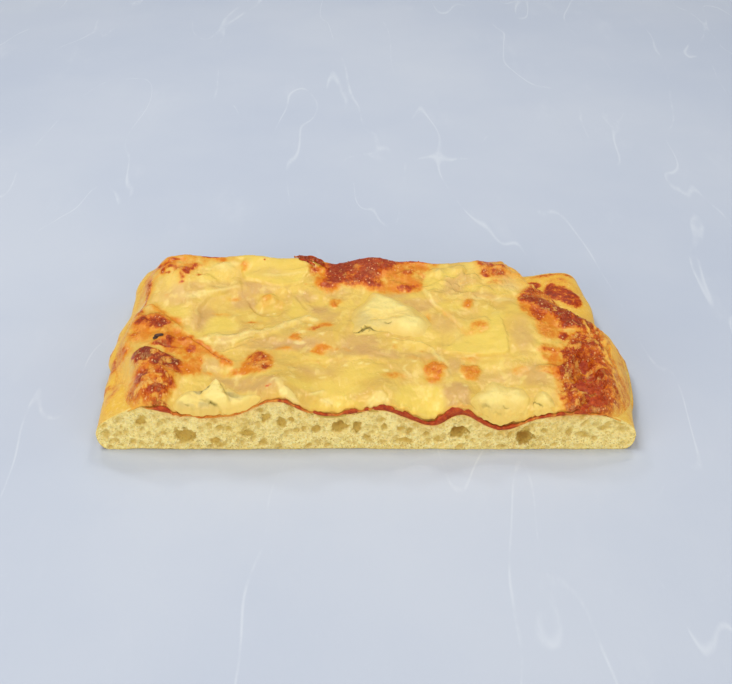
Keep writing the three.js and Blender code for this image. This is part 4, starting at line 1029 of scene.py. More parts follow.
def cheeseTop(x, y, details=True):
    under = breadTop(x, y)
    filled = bread["height"] + 0.94 * swellAt(bread["swells"], x, y) + 0.45 * swellAt(bread["hollows"], x, y)
    body = overRims(x, y, filled) + 0.6 + topping["sauceCoat"] + topping["cheeseCoat"]
    body = body + 0.5 * softNoise(x, y, 22, 5) + 0.22 * softNoise(x, y, 8, 6)
    if details:
        wx, wy = ragged(x, y, *wander["blotches"])
        nx, ny = ragged(x, y, *wander["outlines"])
        grain = layered(cheeseTints["grain"], wx, wy)
        busy = 1 - 0.85 * layered(cheeseTints["smooth"], nx, ny)
        body = body + summed(cheeseRelief, wx, wy) + summed(cheeseFolds, nx, ny)
        big, small = pebbles(wx, wy, *blisters["big"])[0], pebbles(wx, wy, *blisters["small"])[0]
        grown = grain * (0.55 * big + 0.42 * small - 0.75) + 0.22 * pebbles(x, y, *blisters["fine"])[0]
        body = body + grain * grown + wrinkles(x, y) * 0.9
        body = body + busy * (0.45 * softNoise(x, y * 0.7, 6, 15, 2) + 0.06 * softNoise(x, y, 1.8, 9))
    lip = under + sauceCoat(x, y) + topping["lip"]
    roll = roundOff((y - frontCut) / topping["frontRoll"])
    backShare = 0.45 + 0.55 * roundOff((backCut - y) / topping["backRoll"])
    top = lip + np.maximum(0, body - lip) * roll * backShare
    crisp = softStep((y - 20) / 8)  # the back of the right border ends in a thin edge, the rest sinks in
    fromRight = cheeseRight(y) - x
    atRight = (1 - crisp) * softStep(fromRight / topping["borderWidth"]) + crisp * roundOff(fromRight / 5)
    share = softStep((x - cheeseLeft(y)) / (topping["borderWidth"] - 5 * bell((y + 2) / 18))) * atRight
    top = under - 0.25 + (top - under + 0.25) * share
    return top + (under + 0.9 - top) * bareShare(x, y, 5) * 0.9


cheeseMesh = {
    "columns": 396,
    "rows": 186,
    "lowColumns": 100,
    "lowRows": 40,
    "frontLip": (-0.9, math.pi / 2, 25, 0.3, 0.8),  # angles, steps, tuck and fall below the lip
    "backLip": (math.pi / 2, -0.7, 12, 0.8, 1.3),
}


def lipProfile(reach, first, last, steps, tuck, fall):  # inset from the cut, and drop below the surface
    angles = np.linspace(first, last, steps)
    inset = np.where(angles < 0, tuck, reach) * (1 - np.cos(angles))
    return inset, np.where(angles < 0, fall * np.sin(-angles), 0)


def makeCheese():
    frontInset, drop = lipProfile(topping["frontRoll"], *cheeseMesh["frontLip"])
    backInset, backDrop = lipProfile(topping["backRoll"], *cheeseMesh["backLip"])
    middle = np.linspace(
        frontCut + topping["frontRoll"], backCut - topping["backRoll"], cheeseMesh["rows"])[1:-1]
    y = np.concatenate([frontCut + frontInset, middle, backCut - backInset])[:, None]
    fall = np.concatenate([drop, 0 * middle, backDrop])[:, None]
    share = np.linspace(0, 1, cheeseMesh["columns"] + 1)
    x = spanned(cheeseLeft, cheeseRight, y, share)
    y = np.broadcast_to(y, x.shape)
    z = cheeseTop(x, y) - fall
    # the melted edge hangs a little over both cuts
    border = clamped(np.minimum(x - cheeseLeft(y), cheeseRight(y) - x) / 5)
    overFront = bell((y - frontCut) / 1.3) * border
    overBack = bell((y - backCut) / 1.0) * border
    hang = 0.3 + 0.4 * softNoise(x, x * 0, 9, 51, 2) + 0.25 * softNoise(x, x * 0, 2.6, 52, 2)
    shiftY = overFront * (cutWave(x, frontSeed) - hang) + overBack * (cutWave(x, backSeed) + 0.6 * hang)
    sag = overFront * 0.5 * softNoise(x, x * 0, 6, 53, 2)
    wx, wy = ragged(x, y, *wander["blotches"])
    nx, ny = ragged(x, y, *wander["outlines"])
    values = {}
    for label, marks in cheeseTints.items():
        values[label] = layered(marks, *((nx, ny) if label in crispTints else (wx, wy)),
            cheeseSoftness.get(label, 1))
    values["halo"] = layered(cheeseTints["brown"], wx, wy, 4.5)
    values["rim"] = 1 - softStep(np.minimum((x - cheeseLeft(y)) / 9, (cheeseRight(y) - x) / 15))
    big, bigTone = pebbles(wx, wy, *blisters["big"])
    small, smallTone = pebbles(wx, wy, *blisters["small"])
    strand = wrinkles(x, y)
    values["tone"] = clamped(0.5 * bigTone + 0.5 * smallTone + 0.4 * strand)
    values["gap"] = 1 - 0.4 * big - 0.6 * small
    values["strand"] = strand
    thickness = z - breadTop(x, y) - sauceCoat(x, y)
    values["lowEdge"] = bell((y - frontCut) / 2.2) * softStep((2.2 - thickness) / 2.2)
    vertices = [asRows(x, y + shiftY, z + sag)]
    top = np.arange(x.size).reshape(x.shape)
    # a coarser underside, hidden in the sauce
    lowY = np.linspace(frontCut + 0.5, backCut - 0.5, cheeseMesh["lowRows"])[:, None]
    share = np.linspace(0, 1, cheeseMesh["lowColumns"])
    lowX = spanned(cheeseLeft, cheeseRight, lowY, share)
    lowY = np.broadcast_to(lowY, lowX.shape)
    vertices.append(asRows(lowX, lowY, breadTop(lowX, lowY) - 0.9))
    low = x.size + np.arange(lowX.size).reshape(lowX.shape)
    faces = gridFaces(top) + gridFaces(low[:, ::-1])
    faces += stitched(low[0], top[0]) + stitched(top[-1], low[-1])
    faces += stitched(top[:, 0], low[:, 0]) + stitched(low[:, -1], top[:, -1])
    padded = {label: np.concatenate([v.ravel(), np.zeros(lowX.size)]) for label, v in values.items()}
    return np.vstack(vertices), faces, padded


sauceMesh = {"columns": 321, "rows": 120, "insets": [0, 0.35, 0.8, 1.3, 1.9, 2.6, 3.6, 4.8], "inner": 6.5}


def makeSauce():
    inset, inner = np.array(sauceMesh["insets"]), sauceMesh["inner"]
    middle = np.linspace(frontCut + inner, backCut - inner, sauceMesh["rows"])
    y = np.concatenate([frontCut + inset, middle, backCut - inset[::-1]])[:, None]
    share = np.linspace(0, 1, sauceMesh["columns"])
    x = spanned(sauceLeft, sauceRight, y, share)
    y = np.broadcast_to(y, x.shape)
    border = roundOff(np.minimum(x - sauceLeft(y), sauceRight(y) - x) / 3)
    wx, wy = ragged(x, y, *wander["bare"])
    bare = bareShare(x, y, 3)
    lumps = bare * (0.9 * pebbles(wx, wy, 3.6, 71)[0] + 0.5 * pebbles(x, y, 1.7, 72)[0] - 0.4)
    top = breadTop(x, y) + (sauceCoat(x, y) + lumps) * border - 0.3 * (1 - border)
    low = breadTop(x, y) - 0.5
    proud = 0.6 + 0.4 * softNoise(x, x * 0, 2.2, 64, 3)
    overFront, overBack = bell((y - frontCut) / 0.5), bell((y - backCut) / 0.5)
    frontWave, backWave, ledge = cutWave(x, frontSeed), cutWave(x, backSeed), proud * border
    shift = overFront * (frontWave - ledge) + overBack * (backWave + ledge)
    lowShift = overFront * (frontWave + 0.25) + overBack * (backWave - 0.25)
    middle = 0.35 * low + 0.65 * top
    middleY = y + shift * 1.25 + (overFront - overBack) * 0.1
    vertices = np.concatenate([
        asRows(x, y + shift * 0.6, top), asRows(x, y + lowShift, low),
        asRows(x[[0, -1]], middleY[[0, -1]], middle[[0, -1]])])
    upper = np.arange(x.size).reshape(x.shape)
    lower = upper + x.size
    belts = 2 * x.size + np.arange(2 * x.shape[1]).reshape(2, -1)
    front = np.stack([lower[0], belts[0], upper[0]])
    back = np.stack([lower[-1], belts[1], upper[-1]])
    faces = gridFaces(upper) + gridFaces(lower[:, ::-1]) + gridFaces(front) + gridFaces(back[:, ::-1])
    for column, rowsOf in ((0, 1), (-1, -1)):
        a, b = upper[:, column][::rowsOf], lower[:, column][::rowsOf]
        faces += [(a[i], a[i + 1], b[i + 1], b[i]) for i in range(len(a) - 1)]
        faces += [(lower[0, column], upper[0, column], belts[0, column]),
            (lower[-1, column], upper[-1, column], belts[1, column])]
    thick = softStep((sauceCoat(x, y) - 0.7) / 1.1)
    deep = np.maximum(thick, bare)
    return vertices, faces, {"deep": np.concatenate([deep.ravel(), deep.ravel(), deep[[0, -1]].ravel()])}


# Blue cheese: melted lumps, each with its own outline, facets, folds and veins.

centreFace = [(0, 21), (2.6, 26.4), (5, 27), (12, 21.6), (20, 14.4), (14, 10), (4, 8), (-1, 12)]

blueCheeses = {
    "blue_cheese_left": {
        "outline": [
            (-70.5, -52.5), (-69.6, -48.7), (-67.4, -45.4), (-63.6, -43.8), (-60.4, -43), (-59, -40),
            (-57, -36.9), (-54.6, -37.4), (-51.4, -40.6), (-48.4, -44.6), (-45.4, -48), (-42.4, -49.4),
            (-39.4, -51), (-38.2, -52.6), (-41, -53.4), (-48, -53.4), (-58, -53.4), (-66, -53.4),
        ],
        "rise": 1.3,
        "edge": 3.2,
        "crisp": 0.8,
        "relief": [
            ("patch", 1.6, 1.6, [(-57.4, -38), (-56, -39), (-53.6, -44), (-51.6, -49), (-49, -54),
                (-55, -54), (-58, -50.6), (-60.4, -48), (-59, -42)]),
            ("spot", -1.3, 1.6, -61.6, -45.4, 2, 1.8, 0),
            ("patch", -1.2, 1.4, [(-55.4, -38), (-53, -43), (-50, -48.8), (-46.8, -49.4), (-49.4, -43),
                (-52.6, -38)]),
            ("line", -0.6, 0.6, [(-66, -51.2), (-60.2, -51.6), (-57, -52.2)]),
            ("line", 0.6, 0.8, [(-70, -49.6), (-64, -49)]),
        ],
        "vein": [
            ("line", 0.65, 0.5, [(-55.8, -38.8), (-54, -42.4), (-52.4, -45.8), (-51, -49.4)]),
            ("spot", 0.7, 1.2, -59.8, -44.2, 2, 2.8, 0), ("spot", 0.4, 1.4, -49.8, -47, 1.4, 2, 20),
            ("line", 0.6, 0.32, [(-57.6, -51.4), (-56, -51.5), (-54.2, -52)]),
            ("line", 0.42, 0.45, [(-61.8, -49.4), (-59.4, -50.2), (-57, -50.9), (-54.6, -51.7),
                (-52.4, -52.9)]),
            ("line", 0.55, 0.34, [(-66.6, -50.9), (-65.8, -51.4), (-64.7, -52)]),
            ("line", 0.3, 0.4, [(-64.7, -52), (-62.6, -52.8)]),
            ("spot", 0.35, 0.8, -46.8, -51, 1.8, 0.5, -10),
            ("line", 0.45, 0.5, [(-60.2, -43), (-59.6, -46.4)]),
        ],
        # white paste, and the lit faces painted lighter, such as the peak's broad face
        "white": [
            ("patch", 0.75, 1.2, [(-57.2, -39), (-55.6, -41), (-53.4, -46), (-51.6, -50.6), (-49.4, -53.6),
                (-54.6, -53.6), (-57, -51.4), (-58.8, -49), (-57.8, -44)]),
            ("spot", 0.7, 1, -67.4, -50.4, 3.8, 0.9, 0), ("spot", 0.6, 0.8, -48.8, -51.6, 2.4, 0.6, 0),
            ("spot", 0.6, 1.4, -43.6, -50.6, 3, 1, 10),
        ],
        # grey-green of the cheese, and painted shade on the faces beside the peak and along the bottom
        "grey": [
            ("spot", 1, 1.2, -60.4, -44, 2.2, 3.4, 0), ("spot", 1, 1.6, -48.6, -47.4, 3, 2.4, -20),
            ("patch", 1, 0.8, [(-61, -50.6), (-57, -51.2), (-54.4, -52), (-52.6, -53.4), (-61, -53.6)]),
            ("patch", 0.8, 0.8, [(-68, -51.2), (-63, -51.8), (-61, -53.6), (-68, -53.6)]),
            ("spot", 0.8, 1.4, -69.4, -51.8, 2.4, 0.9, 0), ("spot", 1, 1.4, -61.6, -45.6, 2.6, 2.2, 0),
            ("spot", 0.5, 1, -48, -50.2, 3, 0.8, 0),
        ],
    },
    "blue_cheese_centre": {
        "outline": [
            (-6.4, -1.4), (-6.6, 7), (-5.2, 13.6), (-1.2, 20.6), (1.6, 26.8), (4, 28), (9.9, 24.8),
            (16.8, 19.4), (21.8, 13.2), (26, 5.6), (27, 0), (25, -5.6), (20.4, -8.8), (16, -8.4),
            (12.7, -6.4), (9.4, -5.2), (6, -5.6), (1.8, -7.2), (-4.6, -7.2),
        ],
        "rise": 2.3,
        "edge": 6.5,
        "relief": [
            ("patch", 0.9, 2.4, centreFace),
            ("line", -0.8, 0.6, [(-5.8, -5.2), (-2.6, -5.6), (0.2, -3.4), (1.6, -2.6), (4.4, -4.4),
                (8, -4.4)]),
            ("line", -0.5, 0.8, [(1.8, 2.6), (6, 3.6), (12, 5.2), (16, 4.6)]),
            ("spot", 0.6, 4, 18, 1, 7, 4, 10), ("line", 0.5, 1, [(-4, 9), (0, 8), (5, 9.4)]),
        ],
        "vein": [
            ("line", 0.95, 0.42, [(-5.8, -5.2), (-4.4, -5.8), (-2.6, -5.6), (-1.4, -4.4), (0.2, -3.4),
                (1.6, -2.6), (3, -3.6), (4.6, -4.4)]),
            ("line", 0.5, 0.4, [(4.4, -4.4), (6.4, -4.2), (8, -4.4)]),
            ("line", 0.6, 0.35, [(-1.4, -4.4), (-2.4, -2.4)]),
            ("line", 0.6, 0.35, [(0.2, -3.4), (-0.4, -1.8)]), ("line", 0.6, 0.35, [(0.8, -3), (1.6, -5)]),
            ("spot", 0.25, 1.4, -0.4, -3.6, 2.6, 1.4, 20),
            ("line", 0.4, 0.4, [(1.8, 3), (3.6, 3.2), (5.6, 4.6)]),
            ("line", 0.7, 0.45, [(7.2, 0.4), (9, 0), (10.6, 0.5)]),
            ("line", 0.4, 0.35, [(8, 3.4), (11.6, 5.2), (14.6, 4.6)]),
            ("spot", 0.25, 2, 8, 2.4, 4, 1.4, 10), ("spot", 0.25, 1.6, -1, -7, 3, 1, 0),
        ],
        "white": [
            ("patch", 0.7, 4, centreFace), ("spot", 0.9, 4, 19, 0, 6, 4.6, 10),
            ("spot", 0.8, 0.8, 1, -5.8, 2, 0.9, 0), ("spot", 0.5, 1, -3.6, -3, 2, 0.8, 0),
        ],
        "grey": [("spot", 0.5, 4, -3, 4, 5, 6, 0), ("spot", 0.4, 3, 6, 0, 5, 2, 0)],
    },
    "blue_cheese_right": {
        "outline": [
            (37.6, -50.5), (40.5, -44.8), (43, -41.6), (44.8, -37.2), (47.6, -35), (50.4, -35.6),
            (54.6, -38.2), (58.7, -40.6), (60.7, -45.6), (60.9, -49), (58.4, -52.2), (52, -53.3),
            (46, -53.4), (40.6, -53.2),
        ],
        "rise": 1.4,
        "edge": 5.4,
        "relief": [
            ("spot", 0.5, 4, 47, -46, 6, 3.4, 10), ("spot", 0.4, 4, 56, -45, 4.2, 4, 0),
            ("line", -0.2, 1.2, [(51, -39), (51.6, -43), (50.6, -47)]),
            ("line", -0.3, 0.8, [(42, -50.6), (46, -50.6), (50, -52)]),
            ("line", -0.3, 0.6, [(50.4, -49.2), (53.4, -50.4)]),
        ],
        "vein": [
            ("spot", 0.42, 1, 44.4, -50.2, 2, 0.7, 0),
            ("line", 0.6, 0.4, [(50.6, -49.2), (51.7, -50), (53.4, -50.4)]),
            ("spot", 0.25, 1, 43.4, -50.8, 1.2, 0.5, 0),
            ("line", 0.35, 0.5, [(46.6, -51.6), (50.4, -51.8)]),
        ],
        "white": [("spot", 0.8, 3, 46, -46, 5, 3.6, 10), ("spot", 0.6, 3, 57, -46, 3.6, 3.6, 0)],
        "grey": [("spot", 0.3, 2, 50, -51, 6, 1.4, 0)],
    },
    "blue_cheese_small": {
        "outline": [
            (60.8, -50.6), (62.2, -46.4), (63.6, -44), (66, -42.8), (68.5, -46.2), (69.9, -51), (70, -53),
            (66.4, -53.3), (62, -53.2),
        ],
        "rise": 1.3,
        "edge": 4.2,
        "relief": [
            ("line", -0.4, 0.6, [(60.8, -51.9), (61.6, -49.8), (63, -50.5), (65.4, -51.8)]),
            ("spot", 0.5, 1.6, 67, -47.6, 2, 2.6, 0),
        ],
        "vein": [
            ("line", 0.7, 0.36, [(60.6, -51.9), (61, -50.8), (61.6, -49.8), (63, -50.5), (64.4, -51.3),
                (65.6, -51.8)]),
            ("line", 0.4, 0.5, [(61.6, -49.8), (61.9, -48.2)]), ("spot", 0.3, 1.2, 68.6, -49.6, 1, 1.2, 0),
        ],
        "white": [("spot", 0.8, 2, 66.6, -47.6, 2.4, 3, 0)],
        "grey": [("spot", 0.2, 1, 68, -52, 1.6, 1, 0)],
    },
}


def makeBlueCheese(spec, seed, around=150, rings=44):
    line = smoothLine(spec["outline"], closed=True, steps=16)
    centre = line[:-1].mean(0)
    length = np.concatenate([[0], np.cumsum(np.hypot(*np.diff(line, axis=0).T))])
    places = np.linspace(0, length[-1], around, endpoint=False)
    edge = np.stack([np.interp(places, length, line[:, k]) for k in (0, 1)], 1)
    share = np.sin(np.linspace(0.04, math.pi / 2, rings))[:, None, None]
    grid = centre + (edge - centre) * share
    x, y = grid[..., 0], np.maximum(grid[..., 1], frontCut + 0.02)
    inside = np.maximum(insideDistance(line, x, y), 0)
    dome = softStep(inside / spec["edge"] * 0.9) ** spec.get("crisp", 1.0)
    wx, wy = ragged(x, y, 0.5, 3, 81 + seed)
    rise = dome * (spec["rise"] + 0.4 * softNoise(x, y, 5, seed) + 0.15 * softNoise(x, y, 1.8, seed + 1))
    rise = rise + dome * summed(spec["relief"], wx, wy)
    seat = cheeseTop(x, y, False)
    top = seat + np.maximum(rise, 0) - 0.5 * (1 - softStep(inside / 1.2))
    forward = bell((y - frontCut) / 1.6) * (cutWave(x, frontSeed) - 0.7 - 0.5 * dome)
    under = cheeseTop(edge[:, 0], np.maximum(edge[:, 1], frontCut + 0.02), False) - 1.6
    tuck = centre + (edge - centre) * 0.9
    tuckY = np.maximum(tuck[:, 1], frontCut + 0.8)
    hub = cheeseTop(np.array([centre[0]]), np.array([centre[1]]), False)
    vertices = np.concatenate([
        asRows(x, y + forward, top), asRows(tuck[:, 0], tuckY, under),
        [[centre[0], centre[1], top[0].mean()], [centre[0], centre[1], hub[0] - 1.8]]])
    index = np.arange(x.size + around).reshape(rings + 1, around)
    index = np.hstack([index, index[:, :1]])
    faces = gridFaces(index)
    hubTop, hubLow = x.size + around, x.size + around + 1
    for i in range(around):
        faces.append((hubTop, index[0, i + 1], index[0, i]))
        faces.append((hubLow, index[-1, i], index[-1, i + 1]))
    extra = np.zeros(around + 2)
    values = {
        label: np.append(layered(spec[label], wx, wy).ravel(), extra) for label in ("vein", "white", "grey")}
    values["rim"] = np.append((1 - softStep(inside / spec["edge"] * 1.1)).ravel(), extra + 1)
    return vertices, faces, values


# Burnt scraps: a fleck on the left blister and thin curls that stand on the back edge.

scraps = {
    "columns": 26,
    "rows": 9,
    "burntFleck": [(-81.7, -10.2, 20, 3.4, 1.0, 0.5, 0.7), (-82.9, -10.9, 2, 2.2, 1.3, 0.4, 0.6)],
    "burntCurls": [  # x, y, turn, length, width, curl, stand
        (-26, 51.5, -30, 8, 1.3, 0.5, 1.0), (-22, 50.5, -42, 9, 1.5, 0.6, 1.1),
        (-28.5, 52.5, -14, 6, 1.1, 0.4, 0.8), (-18.6, 48.5, -52, 7, 1.4, 0.5, 0.9),
        (-23.5, 52.6, -24, 6, 0.9, 0.6, 1.5), (-20.4, 52, -36, 5, 1.0, 0.5, 1.3),
        (-24.6, 48.6, -34, 6, 1.1, 0.4, 0.7), (-27, 50, -20, 5, 0.9, 0.4, 0.7),
    ],
}


def makeScraps(placements, seed, seated=False):
    columns, rows = scraps["columns"], scraps["rows"]
    vertices, faces, count = [], [], 0
    for k, (cx, cy, turn, length, width, curl, stand) in enumerate(placements):
        u, v = np.meshgrid(np.linspace(-1, 1, columns), np.linspace(-1, 1, rows))
        frayed = 1 + 0.35 * softNoise(u * 8 + 9 * k, v * 2, 4, seed, 2)
        half = width / 2 * np.sqrt(1 - 0.92 * u ** 2) * frayed
        along = u * length / 2 + 0.3 * softNoise(u * 9, v * 4 + 7 * k, 3, seed + 1)
        across = v * half
        height = stand * (1 - u ** 2) * 0.6 + curl * (v * 0.5 + 0.5) ** 2
        height = height + 0.35 * softNoise(along + 11 * k, across, 2.2, seed + 2)
        c, s = math.cos(math.radians(turn)), math.sin(math.radians(turn))
        x, y = cx + c * along - s * across, cy + s * along + c * across
        seat = cheeseTop(np.array([cx]), np.array([min(cy, backCut - 0.5)]), seated)[0] + 0.1
        thick = 0.1 + 0.12 * (1 - v ** 2) * (1 - u ** 2)
        for side in (1, -1):
            vertices.append(asRows(x, y, seat + height + side * thick))
        upper = count + np.arange(x.size).reshape(x.shape)
        lower = upper + x.size
        count += 2 * x.size
        faces += gridFaces(upper) + gridFaces(lower[:, ::-1])
        rim = [(i, 0) for i in range(rows)] + [(rows - 1, j) for j in range(1, columns)]
        rim += [(i, columns - 1) for i in range(rows - 2, -1, -1)]
        rim += [(0, j) for j in range(columns - 2, 0, -1)]
        for (a, b), (p, q) in zip(rim, rim[1:] + rim[:1]):
            faces.append((upper[a, b], upper[p, q], lower[p, q], lower[a, b]))
    vertices = np.vstack(vertices)
    tone = 0.5 + 0.5 * softNoise(vertices[:, 0], vertices[:, 1], 1.6, seed + 4)
    return vertices, faces, {"brown": 0.55 + 0.3 * tone, "red": 0.4 * tone, "grain": np.ones(len(tone))}


# Finishes.

toastStops = [
    (0.0, (240, 188, 62)), (0.2, (230, 142, 22)), (0.36, (208, 94, 6)),
    (0.56, (176, 56, 3)), (0.74, (146, 42, 10)), (1.0, (130, 42, 14)),
]
glossTint = (1.0, 0.82, 0.55, 1.0)


def breadFinish():
    f = Finish("bakedDough")
    place = f.place()
    names = ("crumb", "hollow", "stain", "bake", "skin")
    crumbShare, hollow, stain, bake, skin = (f.attribute(name) for name in names)
    cloudy, mid = f.noise(place, 12, 4), f.noise(place, 4, 4, 0.6)
    fine, tiny = f.noise(place, 1.8, 4, 0.6), f.noise(place, 0.8, 3, 0.6)
    split = f.add("ShaderNodeSeparateXYZ", None, {"Vector": f.place()})
    height = Wire(f, split.outputs["Z"])
    crust = f.mixed(height.step(0.0, 0.010), (244, 214, 116), (238, 190, 72))
    crust = f.over(crust,
        (cloudy.step(0.45, 0.72) * 0.7, (230, 174, 58)),
        (mid.step(0.5, 0.75) * 0.5, (242, 206, 96)),
        (mid.step(0.5, 0.68) * cloudy.step(0.42, 0.6) * 0.5, (216, 142, 52)),
        (fine.step(0.52, 0.64) * 0.5, (250, 214, 124)),
        (tiny.step(0.54, 0.64) * 0.4, (214, 146, 58)))
    toast = bake * (mid * 1.2 + fine * 1.4 + tiny * 0.8 - 1.0)
    crust = f.over(crust,
        (toast.step(0.02, 0.5), f.ramp(toast, toastStops)),
        (f.attribute("under"), f.mixed(fine.step(0.35, 0.7), (228, 182, 92), (190, 132, 56))))
    inner = f.mixed(cloudy.step(0.35, 0.7), (250, 225, 142), (244, 214, 124))
    # small pores and wider cells painted darker: painted shade in pores too fine for the mesh
    pores = 1 - f.cells(place, 1.25, 0.2).step(0.12, 0.5)
    wide = 1 - f.cells(f.place((0.8, 1, 1)), 2.6, 0.25).step(0.12, 0.48)
    inner = f.over(inner,
        (wide * mid.step(0.36, 0.56) * 0.55, (222, 194, 108)),
        (pores * fine.step(0.36, 0.58) * 0.5, (206, 175, 90)))
    dense = 0.45 + 0.55 * (1 - height.step(0.003, 0.009))
    inner = f.mixed(tiny.step(0.5, 0.62) * dense, inner, (254, 239, 168))
    # tiny dark dots: painted shade in the finest pores
    tinyPores = 1 - f.cells(place, 0.9, 0.1).step(0.14, 0.4)
    inner = f.mixed(tinyPores * mid.step(0.36, 0.52) * dense * 0.9, inner, (184, 148, 66))
    cellular, shaded = f.noise(f.place((0.8, 1, 1)), 2.4, 3, 0.6), f.noise(place, 3.4, 3, 0.6, 0.5)
    inner = f.over(inner,
        (shaded.step(0.52, 0.66) * 0.42, (208, 178, 92)),
        ((1 - (cellular - 0.5).size().step(0.004, 0.03)) * 0.5, (255, 241, 180)),
        # the holes painted darker with their depth: painted shade
        (hollow.step(0.05, 1.1), (208, 174, 86)),
        (hollow.step(1.4, 3.4), (168, 126, 50)),
        (skin * 0.7, f.mixed(height.step(0.0016, 0.004), (222, 192, 108), (246, 214, 120))),
        (stain * (0.3 + mid), (226, 150, 62)))
    colour = f.mixed(crumbShare, crust, inner)
    bumpy = mid * 0.25 + fine * 0.25 + tiny * 0.12 - (pores * 0.28 + wide * 0.3) * crumbShare
    return f.shaded(
        Base_Color=colour, Roughness=0.44 + crumbShare * 0.36, Normal=f.bump(bumpy, 0.9),
        Specular_IOR_Level=0.35, Specular_Tint=glossTint,
        Subsurface_Weight=0.12, Subsurface_Radius=(1.0, 0.6, 0.25), Subsurface_Scale=0.0015)


def cheeseFinish():
    f = Finish("meltedCheese")
    place = f.place((1, 0.62, 1))
    names = ("brown", "red", "pale", "beige", "bright", "amber", "smooth", "shade", "grain", "rim",
        "lowEdge", "tone", "gap", "halo", "strand")
    brown, red, pale, beige, bright, orange, smooth, shade = (f.attribute(name) for name in names[:8])
    grain, rim, lowEdge, tone, gap, halo, strand = (f.attribute(name) for name in names[8:])
    busy = 1 - smooth * 0.7
    cloudy, mottle, mid = f.noise(place, 16, 4), f.noise(place, 5, 4, 0.6), f.noise(place, 3, 4, 0.65)
    marbled, curd = f.noise(place, 9, 3, 0.5, 0.8), f.noise(place, 4.2, 3, 0.5, 0.4)
    veined = f.noise(place, 6, 4, 0.55, 0.8)
    fine, tiny = f.noise(place, 1.3, 4, 0.6), f.noise(place, 0.6, 3, 0.6)
    colour = f.mixed(cloudy.step(0.38, 0.62), (238, 202, 98), (229, 189, 88))
    colour = f.over(colour,
        (marbled.step(0.44, 0.6) * busy * 0.5, (219, 177, 94)),
        (mottle.step(0.5, 0.7) * busy * 0.4, (224, 180, 80)),
        # translucent beige, and painted shade below the back slab
        (beige * (0.7 + mottle * 0.7), (214, 169, 102)),
        # yellower cheese, partly painted light
        (bright * (0.5 + cloudy * 0.7), (243, 212, 98)),
        (curd.step(0.54, 0.66) * busy * 0.45, (247, 219, 124)))
    thread = 1 - (veined - 0.5).size().step(0.0, 0.022)
    colour = f.over(colour,
        (thread * mid.step(0.42, 0.6) * busy * 0.14, (204, 154, 72)),
        # cream streaks, partly painted highlights
        (pale * (0.35 + mid * 0.9), (252, 232, 150)),
        (rim * 0.6, (237, 177, 54)),
        (shade * 0.45, (198, 148, 66)),
        (fine.step(0.54, 0.74) * busy * 0.2, (216, 170, 80)),
        # tiny pale dots, more where the cheese blistered: painted glints
        (tiny.step(0.6, 0.7) * (0.1 + grain * 0.5), (254, 238, 178)))
    glaze = (orange + halo * 0.55) * (mid * 2.0 + mottle * 1.4 - 0.7)
    colour = f.over(colour,
        (glaze.step(0.06, 0.75) * 0.9, (236, 166, 44)),
        (glaze.step(0.28, 0.9) * 0.9, (220, 116, 14)))
    # toast darker in the gaps between grains: painted shade; each grain also has its own random tone
    grainy = ((gap - 0.4) * 0.9 + (0.5 - tone) * 1.2) * grain
    solid = brown.step(0.6, 0.95) * (1 - rim)
    toast = brown * (1 - rim * 0.5) * (mid * 1.6 + fine * 1.2 - 0.62 + grainy * 0.5)
    toast = toast + solid * (0.06 + tiny * 0.3 - fine * 0.2)
    colour = f.over(colour,
        (toast.step(0.0, 0.52), f.ramp(toast, toastStops)),
        (rim * mottle.step(0.45, 0.62) * 0.5, (234, 152, 40)),
        (rim * fine.step(0.48, 0.62) * 0.7, (252, 194, 74)),
        (rim * tiny.step(0.54, 0.64) * 0.5, (255, 214, 118)),
        (rim * tiny.step(0.46, 0.36) * 0.4, (206, 118, 40)))
    bloody = red * (mid * 1.5 + fine * 1.5 - 0.6 + grainy * 0.6)
    colour = f.over(colour,
        (bloody.step(0.3, 0.85) * 0.85, f.mixed(tiny.step(0.35, 0.65), (136, 28, 6), (198, 74, 10))),
        (strand.step(0.1, 0.7) * 0.8, (250, 192, 78)),
        ((strand * -1).step(0.1, 0.6) * 0.6, (210, 112, 30)))
    # painted highlights: gold on the tops of some grains, pale cream on the grains and tiny light dots on the
    # toast stand for glints
    goldAndHighlight = tone.step(0.58, 0.78) * (1 - gap).step(0.3, 0.75) * grain
    colour = f.over(colour,
        (goldAndHighlight * fine.step(0.36, 0.6) * 0.75, (246, 190, 84)),
        (pale * grain * fine.step(0.4, 0.6) * 0.4, (250, 206, 120)),
        (tiny.step(0.62, 0.7) * grain * brown.step(0.2, 0.6) * 0.5, (255, 206, 120)))
    glints = 1 - f.cells(place, 1.5, 0.1).step(0.14, 0.3)
    colour = f.over(colour,
        (glints * (brown.step(0.12, 0.4) + orange * 0.4) * mid.step(0.44, 0.58) * 0.6, (250, 204, 132)),
        (lowEdge * 0.6 * (1 - red), (236, 170, 62)))
    bumpy = mottle * 0.3 + mid * 0.2 + curd * busy * 0.3
    bumpy = bumpy + fine * (0.08 + grain * 0.45) + tiny * (0.04 + grain * 0.3)
    return f.shaded(
        Base_Color=colour, Roughness=0.14 + mid * 0.2 + rim * 0.3 + strand.size() * 0.2,
        Normal=f.bump(bumpy, 1.2), Specular_IOR_Level=0.38, Specular_Tint=glossTint,
        Subsurface_Weight=0.15, Subsurface_Radius=(1.0, 0.6, 0.2), Subsurface_Scale=0.002)


